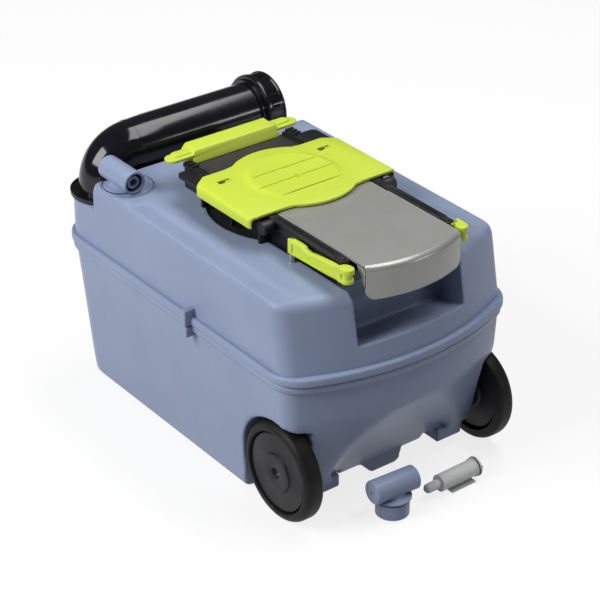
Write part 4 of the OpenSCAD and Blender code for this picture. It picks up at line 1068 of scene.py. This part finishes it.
def cover_section():
    """Arch in (x, z): flat top, rounded shoulders and skirts, hollow below."""
    r = COVER_SIDE_R
    outer = [(COVER_HALF - r + r * math.sin(a), COVER_TOP - r + r * math.cos(a))
             for a in np.radians(np.linspace(0, 90, 9))]
    inner_r = r - 2.4
    inner = [(COVER_HALF - r + inner_r * math.sin(a), COVER_TOP - r + inner_r * math.cos(a))
             for a in np.radians(np.linspace(90, 0, 6))]
    low = COVER_LOW - COVER_SKIRT
    half = outer + [(COVER_HALF, low + 0.6), (COVER_HALF - 0.6, low), (COVER_HALF - 2.4, low)] + inner
    return half + [(-x, z) for x, z in half[::-1]]


def middle_share(y):
    """The middle stands proud at the rear and runs out towards the front."""
    return min(max(0.56 + 0.46 * (y - COVER_MID) / 42, 0.06), 1.05)


def middle_top(y):
    return COVER_TOP + MIDDLE_RISE * middle_share(y)


def raised_middle():
    """The round middle, turned on the lathe and then lowered towards the front."""
    profile = [(0, COVER_TOP - 1), (MIDDLE_R, COVER_TOP - 1)]
    profile += [(MIDDLE_R - 7.6 * t, COVER_TOP - 0.02 + MIDDLE_RISE * ease(t)) for t in np.linspace(0, 1, 9)]
    profile += [(41.2, COVER_TOP + 3.15), (39.6, COVER_TOP + MIDDLE_RISE), (0, COVER_TOP + MIDDLE_RISE)]
    middle = lathe("raised middle", profile, (0, COVER_MID, 0), UP, 160)
    for vertex in middle.data.vertices:
        above = vertex.co.z / MM - COVER_TOP
        if above > 0:
            vertex.co.z = (COVER_TOP + above * middle_share(vertex.co.y / MM)) * MM
    return middle


def make_cover():
    cover = prism("sliding_cover_skin", cover_section(), "y", -100, 145)
    combine(cover, [prism("cover plan", cover_plan(), "z", COVER_LOW - 12, 30)], "INTERSECT")
    bevel(cover, 0.6, 2, 40)
    join(cover, raised_middle())
    hollow = [(0, COVER_LOW - 1), (47, COVER_LOW - 1), (47, COVER_LOW), (38, COVER_LOW + 3.1),
              (0, COVER_LOW + 3.1)]
    cut(cover, lathe("hollow", hollow, (0, COVER_MID, 0), UP, 96))
    for y, half in LINES:
        line = arc(half, y, LINE_R, -90, 90, 6) + arc(-half, y, LINE_R, 90, 270, 6)
        cut(cover, prism("line", line, "z", middle_top(y) - LINE_DEPTH, 4))
    cut(cover, lathe("mark", [(2.0, 0), (3.1, 0), (3.1, 3), (2.0, 3)],
                     (0, LINES[1][0], middle_top(LINES[1][0]) - LINE_DEPTH), UP, 40))
    slot = (SLOT_X - SLOT_HALF, SLOT_X + SLOT_HALF)
    for side in (-1, 1):
        cut(cover, side_block("slot", side, slot, (-1, 4), (COVER_LOW - 2, COVER_TOP + 2)))
        cut(cover, side_block("slot ledge", side, slot, (-3.4, 0), (COVER_TOP - 0.5, COVER_TOP + 2)))
    fingers = [block("finger", (side * SLOT_X + shift - 1.0, -1.6, COVER_LOW + 0.4),
                     (side * SLOT_X + shift + 1.0, 1.8, COVER_TOP - 0.1))
               for side in (-1, 1) for shift in (2.0, 5.4)]
    join(cover, *fingers)
    return shade(cover, 24)


cover = make_cover()
dress(cover, LIME, "sliding_cover")
print("cover faces", len(cover.data.polygons))

# %% [markdown]
# ## Pull-out grip
# The grip is bent from one thin sheet: a flat plate, a bend of 6.5 mm radius along the bowed front
# edge and a lip that hangs down with rounded lower corners. Rings of points follow the bowed edge
# from side to side, and each ring runs from the plate round the bend and down the lip. A thin bead
# rims it, a cheek closes each end of the bend, and a tongue on each side runs in the rail's groove.

# %% Pull-out grip
GRIP_TOP = SLIDE - 0.2
GRIP_HALF = 55.5
GRIP_FRONT = 221.0
GRIP_BOW = 12.0
GRIP_BACK = 71.0
GRIP_T = 2.4
LIP_H = 33.0
BEND_OUT = 6.5
LIP_CORNER = 8.0
GRIP_NOTCH = -103.7
GRIP_NECK = 52.6
GRIP_SIDE = (GRIP_HALF - 2.4, GRIP_HALF)
TONGUE_Z = SLIDE - 6.0
RIM_R = 0.62


def grip_edge(x):
    """Place of the bowed front edge at x."""
    big = bow_radius(GRIP_HALF, GRIP_BOW)
    return -GRIP_FRONT + big - math.sqrt(big * big - x * x)


def lip_depth(x):
    """How far the lip hangs at x, with rounded lower corners."""
    over = abs(x) - (GRIP_HALF - LIP_CORNER)
    if over <= 0:
        return LIP_H
    return LIP_H - LIP_CORNER + math.sqrt(max(LIP_CORNER ** 2 - over * over, 0.0))


def grip_ring(x):
    """Points round the sheet at x: back edge, bend, foot of the lip and the inside of the bend."""
    edge = grip_edge(x)
    low_z = GRIP_TOP - lip_depth(x)
    r, ri = BEND_OUT, BEND_OUT - GRIP_T
    angles = np.radians(np.linspace(0, 90, 9))
    outer = [(x, edge + r - r * math.sin(a), GRIP_TOP - r + r * math.cos(a)) for a in angles]
    inner = [(x, edge + r - ri * math.sin(a), GRIP_TOP - r + ri * math.cos(a)) for a in angles[::-1]]
    rear = -GRIP_BACK if abs(x) < GRIP_NECK + 0.01 else GRIP_NOTCH
    back = [(x, rear, GRIP_TOP - GRIP_T), (x, rear, GRIP_TOP)]
    return back + outer + [(x, edge, low_z + 0.5), (x, edge + 0.5, low_z), (x, edge + GRIP_T - 0.5, low_z),
                           (x, edge + GRIP_T, low_z + 0.5)] + inner


def bead(name, points, radius):
    """A thin round bead along a line of points, with closed ends."""
    curve = bpy.data.curves.new(name, "CURVE")
    curve.dimensions = "3D"
    curve.bevel_depth = radius * MM
    curve.bevel_resolution = 2
    curve.use_fill_caps = True
    line = curve.splines.new("POLY")
    line.points.add(len(points) - 1)
    for spot, point in zip(line.points, points):
        spot.co = (*[value * MM for value in point], 1)
    drawn = linked(name, curve)
    mesh = bpy.data.meshes.new_from_object(drawn.evaluated_get(bpy.context.evaluated_depsgraph_get()))
    bpy.data.objects.remove(drawn)
    return linked(name, mesh)


def grip_rim(xs):
    """The turned edge of the plate: down both sides and along the foot of the lip."""
    r = BEND_OUT
    start = grip_edge(GRIP_HALF) + r
    bend = [(start - r * math.sin(a), GRIP_TOP - r + r * math.cos(a))
            for a in np.radians(np.linspace(0, 90, 7))]
    side = [(GRIP_NOTCH - 1.0, GRIP_TOP - 0.3)] + [(y + 0.15, z - 0.15) for y, z in bend]
    left = [(-GRIP_HALF + 0.3, y, z) for y, z in side]
    foot = [(x * (GRIP_HALF - 0.3) / GRIP_HALF, grip_edge(x) + 0.25, GRIP_TOP - lip_depth(x) + 0.3)
            for x in xs]
    right = [(GRIP_HALF - 0.3, y, z) for y, z in side[::-1]]
    return bead("grip rim", left + foot + right, RIM_R)


def grip_stations():
    """Places from side to side, closer together over the lip's corners and at the neck."""
    corner = list(np.linspace(-GRIP_HALF, -GRIP_HALF + LIP_CORNER, 13))
    middle = list(np.linspace(-GRIP_HALF + LIP_CORNER, GRIP_HALF - LIP_CORNER, 33))[1:-1]
    neck = [-GRIP_NECK - 0.04, -GRIP_NECK, GRIP_NECK, GRIP_NECK + 0.04]
    return sorted(corner + middle + [-x for x in corner] + neck)


def make_grip():
    xs = grip_stations()
    parts = [bevel(loft("grip_plate_skin", [grip_ring(x) for x in xs]), 0.45, 2, 50), grip_rim(xs)]
    end = grip_edge(GRIP_HALF)
    cheek = [(end + 1.0, GRIP_TOP - 1.2), (end + 1.0, GRIP_TOP - 24), (end + 4.0, GRIP_TOP - 20),
             (end + 15, GRIP_TOP - 2.2), (end + 15, GRIP_TOP - 1.2)]
    along = (GRIP_NOTCH, -GRIP_BACK)
    for side in (-1, 1):
        x0, x1 = sorted(side * x for x in GRIP_SIDE)
        parts += [bevel(prism("cheek", cheek, "x", x0, x1 - x0), 0.3, 2, 30),
                  side_block("tongue", side, (GRIP_SIDE[0], 59.1), along, (TONGUE_Z, TONGUE_Z + 2.0)),
                  side_block("tongue web", side, GRIP_SIDE, along, (TONGUE_Z, GRIP_TOP - 0.6))]
    return merge_pieces("grip_plate_skin", parts)


grip = shade(make_grip(), 30)
dress(grip, SILVER, "grip_plate")
print("grip faces", len(grip.data.polygons))

# %% [markdown]
# ## Rear bar
# The lime bar across the rear has a sloping front face, chamfered ends and a flat ear on each side
# with a rounded hump.

# %% Rear bar
BAR_HALF = 52.0
BAR_CHAMFER = (46.5, 52.2)


def stadium(x0, x1, y, r, steps=10):
    """Plan of a bar with its far end at x1 rounded."""
    side = 1 if x1 > x0 else -1
    centre = x1 - side * r
    turn = (-90, 90) if side > 0 else (270, 90)
    return [(x0, y - r)] + arc(centre, y, r, *turn, steps) + [(x0, y + r)]


def make_rear_bar():
    low_z = SLIDE - 5.3
    section = [(62.6, low_z + 0.2), (66.6, SLIDE + 6.6), (68.0, SLIDE + 7.1), (83.4, SLIDE + 9.0),
               (85.2, SLIDE + 8.2), (86.0, SLIDE + 6.4), (86.0, low_z - 4), (66.3, low_z - 4),
               (66.3, low_z + 0.2)]
    bar = prism("rear_bar_skin", section, "x", -BAR_HALF, 2 * BAR_HALF)
    for side in (-1, 1):
        near, far = side * BAR_CHAMFER[0], side * BAR_CHAMFER[1]
        wedge = [(near, SLIDE + 20), (near, SLIDE + 9.4), (far, SLIDE + 2.4), (side * 70, SLIDE + 2.4),
                 (side * 70, SLIDE + 20)]
        cut(bar, prism("end chamfer", wedge, "y", 40, 80))
        wedge = [(near, 50.0), (near, 62.0), (far, 66.6), (side * 60, 66.6), (side * 60, 50.0)]
        cut(bar, prism("front chamfer", wedge, "z", SLIDE + 0.2, 30))
    cut(bar, block("hollow", (-49, 69.5, low_z - 6), (49, 83, SLIDE + 4)))
    bevel(bar, 0.7, 3, 28)
    for side in (-1, 1):
        ear = prism("ear", stadium(side * 49, side * 79, 73, 8), "z", SLIDE + 0.3, 3.3)
        hump = prism("hump", stadium(side * 47, side * 71, 75.2, 5.6), "z", SLIDE + 0.4, 5.2)
        join(bar, bevel(ear, 1.2, 3, 40), bevel(hump, 2.0, 4, 40))
    return shade(bar, 26)


rear_bar = make_rear_bar()
dress(rear_bar, LIME, "rear_bar")
print("bar faces", len(rear_bar.data.polygons))

# %% [markdown]
# ## Catches
# The catches are long levers that end in a rounded thumb knob. Each is an outline seen from the
# side, with a knob, its foot and its stem joined on, and a pin hole, a window and a channel cut
# from it. The top of the right lever is a little lower.

# %% Catches
CATCH_LOW = TOP + 8.5
CATCH_X = (67.0, 73.0)
RIGHT_DROP = 3.4
KNOB_TOP = SLIDE - 1.6
KNOB_T = 5.6


def stadium_along_y(x, y0, y1, r, steps=10):
    """Plan of a bar along Y with its end at y1 rounded."""
    return [(x + r, y0)] + arc(x, y1 + r, r, 0, -180, steps) + [(x - r, y0)]


def lever_outline(low_z, drop):
    """The lever from the side as (y, z), from its pin to its front end."""
    top = [(-115.0, 15.0), (-132, 15.6), (-138, 15.0), (-141, 13.0), (-146, 12.4), (-152, 13.4),
           (-160, 14.4), (-168, 15.2), (-178, 16.0), (-192, 16.2)]
    foot = [(-194, 4.4), (-186, 3.6), (-176, 2.6)]
    return ([(-115.0, low_z)] + [(y, low_z + rise - drop) for y, rise in top]
            + [(y, low_z + rise) for y, rise in foot])


def channel_outline(low_z, drop):
    """The channel in the lever's outer face, as (y, z)."""
    top = [(-121, 11.6), (-139, 11.0), (-146, 9.6), (-160, 11.2), (-184, 12.4)]
    foot = [(-184, 6.6), (-174, 5.4), (-160, 3.0)]
    return ([(-121, low_z + 2.6)] + [(y, low_z + rise - drop) for y, rise in top]
            + [(y, low_z + rise) for y, rise in foot])


def make_catch(side, name):
    low_z = CATCH_LOW
    drop = 0.0 if side < 0 else RIGHT_DROP
    x0, x1 = sorted(side * x for x in CATCH_X)
    catch = bevel(prism(name, lever_outline(low_z, drop), "x", x0, x1 - x0), 0.8, 3, 24)
    plan = [(70.8, -183.0), (73.2, -183.0), (73.6, -192.0), (73.0, -198.5), (69.6, -202.6), (64.6, -202.8),
            (61.4, -199.0), (62.4, -192.5), (65.2, -188.6), (69.8, -187.6)]
    knob = round_corners(plan, [0.8, 1, 4, 5, 4, 4, 4, 5, 2, 1.2], 4)[::side]
    top_piece = prism("knob top", [(side * x, y) for x, y in knob], "z", KNOB_TOP - KNOB_T, KNOB_T)
    foot = prism("knob foot", stadium_along_y(side * 67.4, -188, -202.0, 5.8), "z", low_z + 3.2, 4.0)
    stem = rod("knob stem", 4.6, (side * 67.6, -196.2, low_z + 4), UP, 11, 40)
    join(catch, bevel(top_piece, 1.3, 3, 40), bevel(foot, 0.8, 3, 40), stem)
    face_x = side * CATCH_X[1]
    cut(catch, rod("pin hole", 1.56, (side * 70, -118, low_z - 1), UP, 30, 32),
        block("window", (face_x - 1.4, -148.5, low_z + 4.6), (face_x + 1.4, -144.5, low_z + 9.4)),
        prism("channel", channel_outline(low_z, drop), "x", face_x - 1.1, 2.2))
    return shade(catch, 26)


for side, part in ((-1, "catch_left"), (1, "catch_right")):
    catch = dress(make_catch(side, part + "_skin"), LIME, part)
    print(part, "faces", len(catch.data.polygons))

# %% [markdown]
# ## Rails
# The rails are black strips on the frame's side flanges. Three low ribs run along the slideway, with
# three small blocks across their rear end. A plain stretch with a fine groove lies beside the grip,
# and a low block ends it. The right rail has one more low block near the rear of that stretch.

# %% Rails
RAIL_X = 57.3
RAIL_W = 9.0
RAIL_FOOT = SLIDE - 3.0
RAIL_FRONT = -186.0
RAIL_REAR = 62.0
RIB_W = 1.8
# Low blocks on each side's rail, as (front, rear, top, distance in, width)
LOW_BLOCKS = {-1: ((-184, -171, SLIDE + 0.3, 1.6, 5.8),),
              1: ((-97, -86, SLIDE + 0.2, 0.8, 7.4), (-184, -172, SLIDE + 0.4, 1.6, 5.8))}


def rail_block(side, y0, y1, z0, z1, inset=0.0, width=RAIL_W):
    return side_block("rail part", side, (RAIL_X + inset, RAIL_X + inset + width), (y0, y1), (z0, z1))


def make_rail(side, name):
    seat = RAIL_FOOT + 0.1
    rail = rail_block(side, RAIL_FRONT, RAIL_REAR, RAIL_FOOT, SLIDE - 1.0)
    rail.name = name
    join(rail, rail_block(side, -176, -72, seat, SLIDE - 0.1))
    for rib in range(3):
        join(rail, rail_block(side, -72.5, RAIL_REAR, seat, SLIDE, rib * (RAIL_W - RIB_W) / 2, RIB_W))
    cut(rail, rail_block(side, -170, -84, SLIDE - 0.9, SLIDE + 2, 3.6, 1.4))
    for start in (47.0, 52.6, 58.2):
        join(rail, rail_block(side, start, start + 3.0, seat, SLIDE + 2.2))
    for front, rear, top, inset, width in LOW_BLOCKS[side]:
        join(rail, rail_block(side, front, rear, seat, top, inset, width))
    return bevel(rail, 0.35, 2, 40)


for side, part in ((-1, "rail_left"), (1, "rail_right")):
    rail = dress(shade(make_rail(side, part + "_skin"), 30), BLACK, part)
    print(part, "faces", len(rail.data.polygons))

# %% [markdown]
# ## Moulded frame and deck
# The black frame and the dark deck keep their solids' forms. Their edges get the small radii of a
# moulding, so that they catch the light, and the frame's low nose is trimmed at the front.

# %% Frame and deck
NOSE_REAR = -174.5

frame_skin = solid_copy("mechanism_frame")
cut(frame_skin, block("nose", (-70, -200, 220), (70, NOSE_REAR, 240)))
dress(bevel(frame_skin, 0.7), BLACK, "mechanism_frame")
deck_skin = dress(bevel(solid_copy("rear_deck"), 0.5), DARK_GREY, "rear_deck")
print("frame faces", len(frame_skin.data.polygons), "deck faces", len(deck_skin.data.polygons))

# %% [markdown]
# ## Wheels
# Each wheel is a soft black tyre with a large outer shoulder round a harder dark disc. The disc has
# a raised hub, and its bore is open, so the end of the steel axle shows inside it.

# %% Wheels and axle
WHEEL_IN = 108.5
WHEEL_W = 19.5
TYRE_R = 50.8
TYRE_IN_R = 40.5
SHOULDER_IN = 4.4
SHOULDER_OUT = 7.6


def tyre_profile():
    """The tyre as (radius, along): its inner side, the tread and the wide outer shoulder."""
    inner = [(TYRE_R - SHOULDER_IN + SHOULDER_IN * math.sin(a), SHOULDER_IN - SHOULDER_IN * math.cos(a))
             for a in np.radians(np.linspace(0, 90, 7))]
    outer = [(TYRE_R - SHOULDER_OUT + SHOULDER_OUT * math.cos(a),
              WHEEL_W - SHOULDER_OUT + SHOULDER_OUT * math.sin(a))
             for a in np.radians(np.linspace(0, 90, 10))]
    rim = [(TYRE_IN_R + 2.0, WHEEL_W - 0.1), (TYRE_IN_R + 1.1, WHEEL_W - 0.9), (TYRE_IN_R, WHEEL_W - 4.5)]
    return [(TYRE_IN_R, 3), (TYRE_IN_R + 1, 0.5)] + inner + outer + rim


def dress_turned(part, profile, at, axis, segments, material):
    """Turns a round piece on the lathe, shades it and dresses it as the node it is named for."""
    made = shade(lathe(part + "_skin", profile, at, axis, segments), 30)
    print(part, "faces", len(made.data.polygons))
    return dress(made, material, part)


DISC = [(4.06, 1.0), (16, 1.0), (18, 3.0), (38, 3.0), (40.2, 5.0), (40.2, 15.0), (39.7, 16.4), (38.9, 17.1),
        (37.6, 17.3), (21.0, 17.3), (20.4, 17.45), (20.0, 17.9), (19.8, 18.7), (19.3, 19.3), (18.4, 19.5),
        (6.4, 19.5), (5.6, 19.2), (5.1, 18.5), (4.8, 17.0), (4.06, 16.0)]
AXLE_BAR = [(0, -123.4), (3.2, -123.4), (4.0, -122.6), (4.0, 122.6), (3.2, 123.4), (0, 123.4)]
for side, word in ((-1, "left"), (1, "right")):
    hub = (side * WHEEL_IN, *AXLE)
    dress_turned("tyre_" + word, tyre_profile(), hub, (side, 0, 0), 128, RUBBER)
    dress_turned("wheel_disc_" + word, DISC, hub, (side, 0, 0), 128, WHEEL_GREY)
dress_turned("axle", AXLE_BAR, (0, *AXLE), RIGHT, 48, STEEL)

# %% [markdown]
# ## Vents
# The vent elbow is a short open tube on a bayonet base. One function makes its skin for the fitted
# one and for the loose one: a turned base with its ring groove, the tube with a rounded closed end,
# the bore and the notch of the bayonet. The fitted one is sunk almost flush into its seat.

# %% Vent elbows
ELBOW_R = 11.9
ELBOW_BORE = 9.7
ELBOW_L = 49.0
ELBOW_UP = 30.5
END_ROUND = 2.2
NOTCH_TURN = math.radians(68)
FORWARD = (0, -1, 0)
VENT_SUNK = 18.3
LOOSE_AT = (-33.8, -226.8, 0.0)
LOOSE_TURN = 86.8


def elbow_skin(name, flange):
    """A vent elbow standing at the origin, with a flange of the given radius."""
    base = [(0, 0), (15.9, 0), (16.5, 0.6), (16.5, 15.0), (16.1, 15.5), (13.9, 15.5), (13.9, 18.0)]
    base += [(flange - 0.5, 18.0), (flange, 18.4), (flange, 19.6), (flange - 0.5, 20.0)]
    base += [(13.2, 20.2), (11.6, 21.2), (10.9, 22.8), (10.9, ELBOW_UP - 2), (0, ELBOW_UP - 2)]
    elbow = lathe(name, base, (0, 0, 0), UP, 96)
    half = ELBOW_L / 2
    round_end = [(ELBOW_R - END_ROUND + END_ROUND * math.sin(a), -half + END_ROUND - END_ROUND * math.cos(a))
                 for a in np.radians(np.linspace(0, 90, 8))]
    tube = [(0, -half)] + round_end + [(ELBOW_R, half - 0.5), (ELBOW_R - 0.5, half), (0, half)]
    join(elbow, lathe("tube", tube, (0, 0, ELBOW_UP), FORWARD, 96))
    cut(elbow, rod("bore", ELBOW_BORE, (0, half - 2.4, ELBOW_UP), FORWARD, ELBOW_L + 4, 96),
        rod("passage", ELBOW_BORE - 1, (0, 0, -1), UP, ELBOW_UP - 3, 96),
        rod("dimple", 1.5, (0, half + 1, ELBOW_UP), FORWARD, 2.2, 32))
    notch = block("notch", (14.3, -3, 9.1), (18.3, 3, 16.1))
    notch.data.transform(Matrix.Rotation(NOTCH_TURN, 4, "Z"))
    return shade(cut(elbow, notch), 32)


def dress_elbow(part, flange, turn, at):
    """Makes an elbow, turns it by degrees about Z and sets it in its place."""
    elbow = elbow_skin(part + "_skin", flange)
    elbow.data.transform(Matrix.Translation(Vector(at) * MM) @ Matrix.Rotation(math.radians(turn), 4, "Z"))
    print(part, "faces", len(elbow.data.polygons))
    return dress(elbow, TANK_BLUE, part)


def ring_skin(name, radius, thick, at, axis):
    """A ring of round rubber cord."""
    section = [(radius + thick * math.cos(a), thick * math.sin(a)) for a in np.radians(np.arange(0, 360, 24))]
    ring = lathe(name, section, at, axis, 72)
    ring.data.shade_smooth()
    return ring


dress_elbow("vent_elbow", 17.6, 0, (*VENT, TOP - VENT_SUNK))
dress_elbow("spare_elbow", 18.4, LOOSE_TURN, LOOSE_AT)
o_ring = ring_skin("spare_o_ring_skin", 15.4, 1.55, (*LOOSE_AT[:2], 16.75), UP)
dress(o_ring, RUBBER, "spare_o_ring")

# %% [markdown]
# ## Vent valve
# The fitted vent holds a cartridge in its mouth. Its visible end is a plain sleeve, and a square
# ring of rubber fills the gap between the sleeve and the bore. Both are turned on the lathe.

# %% Vent valve and its ring
CARTRIDGE = [(4.3, 2.4), (6.0, 2.4), (6.6, 2.9), (6.6, 31), (4.3, 31)]
GLAND = [(6.65, 4.2), (9.6, 4.2), (9.6, 7.6), (6.65, 7.6)]
vent_mouth = (VENT[0], VENT[1] - ELBOW_L / 2, TOP - VENT_SUNK + ELBOW_UP)
dress_turned("vent_valve", CARTRIDGE, vent_mouth, (0, 1, 0), 64, TANK_BLUE)
dress_turned("vent_valve_ring", GLAND, vent_mouth, (0, 1, 0), 64, RUBBER)

# %% [markdown]
# ## Studio
# A wide pale floor, a weak even sky and three lights. The floor glows where the camera, or a shiny
# or clear surface, sees it, so it looks white. For all other light it is a middle grey, so that it
# throws little light back at the tank.

# %% Studio
FLOOR = 40000.0
FLOOR_Z = -0.6
WORLD_LEVEL = 0.075

floor_mesh = mesh_object("floor", [(x * FLOOR, y * FLOOR, FLOOR_Z) for x, y in
                                   ((-1, -1), (1, -1), (1, 1), (-1, 1))], [(0, 1, 2, 3)])


def pale_floor():
    material = bpy.data.materials.new("pale_floor")
    material.use_nodes = True
    tree = material.node_tree
    shader = tree.nodes["Principled BSDF"]
    shader.inputs["Roughness"].default_value = 0.9
    glow = node(tree, "ShaderNodeEmission")
    glow.inputs["Strength"].default_value = 1.0
    path = node(tree, "ShaderNodeLightPath")
    seen = math_node(tree, "MAXIMUM", path.outputs["Is Camera Ray"],
                     math_node(tree, "MAXIMUM", path.outputs["Is Glossy Ray"],
                               path.outputs["Is Transmission Ray"]))
    share = math_node(tree, "MULTIPLY", seen, 0.8)
    paint = mix_colour(tree, seen, (0.33, 0.33, 0.34, 1), (1.0, 1.0, 1.0, 1))
    tree.links.new(paint, shader.inputs["Base Color"])
    mixed = node(tree, "ShaderNodeMixShader")
    tree.links.new(share, mixed.inputs[0])
    tree.links.new(shader.outputs[0], mixed.inputs[1])
    tree.links.new(glow.outputs[0], mixed.inputs[2])
    tree.links.new(mixed.outputs[0], tree.nodes["Material Output"].inputs["Surface"])
    return material


floor_mesh.data.materials.append(pale_floor())


def studio_world():
    world = bpy.data.worlds.new("studio")
    bpy.context.scene.world = world
    world.use_nodes = True
    tree = world.node_tree
    lit = tree.nodes["Background"]
    lit.inputs["Color"].default_value = (0.93, 0.96, 1.0, 1)
    lit.inputs["Strength"].default_value = WORLD_LEVEL


studio_world()


def area_light(name, at, aim, size, power):
    data = bpy.data.lights.new(name, "AREA")
    data.shape = "RECTANGLE"
    data.size, data.size_y = size
    data.energy = power
    obj = linked(name, data)
    obj.location = at
    obj.rotation_euler = (Vector(aim) - Vector(at)).to_track_quat("-Z", "Y").to_euler()


area_light("key", (-2.1, 0.35, 1.75), (0, 0, 0.15), (1.5, 1.5), 71)
area_light("top", (0.9, -0.2, 2.6), (0, 0, 0.2), (2.4, 0.9), 45)
area_light("front right", (1.6, -2.3, 1.08), (0, 0, 0.25), (0.85, 0.22), 7)
print("floor at", FLOOR_Z, "mm, sky level", WORLD_LEVEL)

# %% [markdown]
# ## Camera
# A long lens looks down on the tank from its front left.

# %% Camera
CAMERA_AT = Vector((-1.08470, -1.45881, 1.16281))
AZIMUTH = math.radians(37.37)
ELEVATION = math.radians(29.95)
ahead = Vector((math.sin(AZIMUTH) * math.cos(ELEVATION), math.cos(AZIMUTH) * math.cos(ELEVATION),
                -math.sin(ELEVATION)))
lens = bpy.data.cameras.new("camera")
lens.lens = 125.43
lens.sensor_width = 36.0
camera = linked("camera", lens)
camera.location = CAMERA_AT
camera.rotation_euler = ahead.to_track_quat("-Z", "Y").to_euler()
bpy.context.scene.camera = camera
bpy.context.scene.view_settings.view_transform = "Standard"
print("camera at", [round(v, 3) for v in CAMERA_AT], "m, lens", round(lens.lens, 2), "mm")
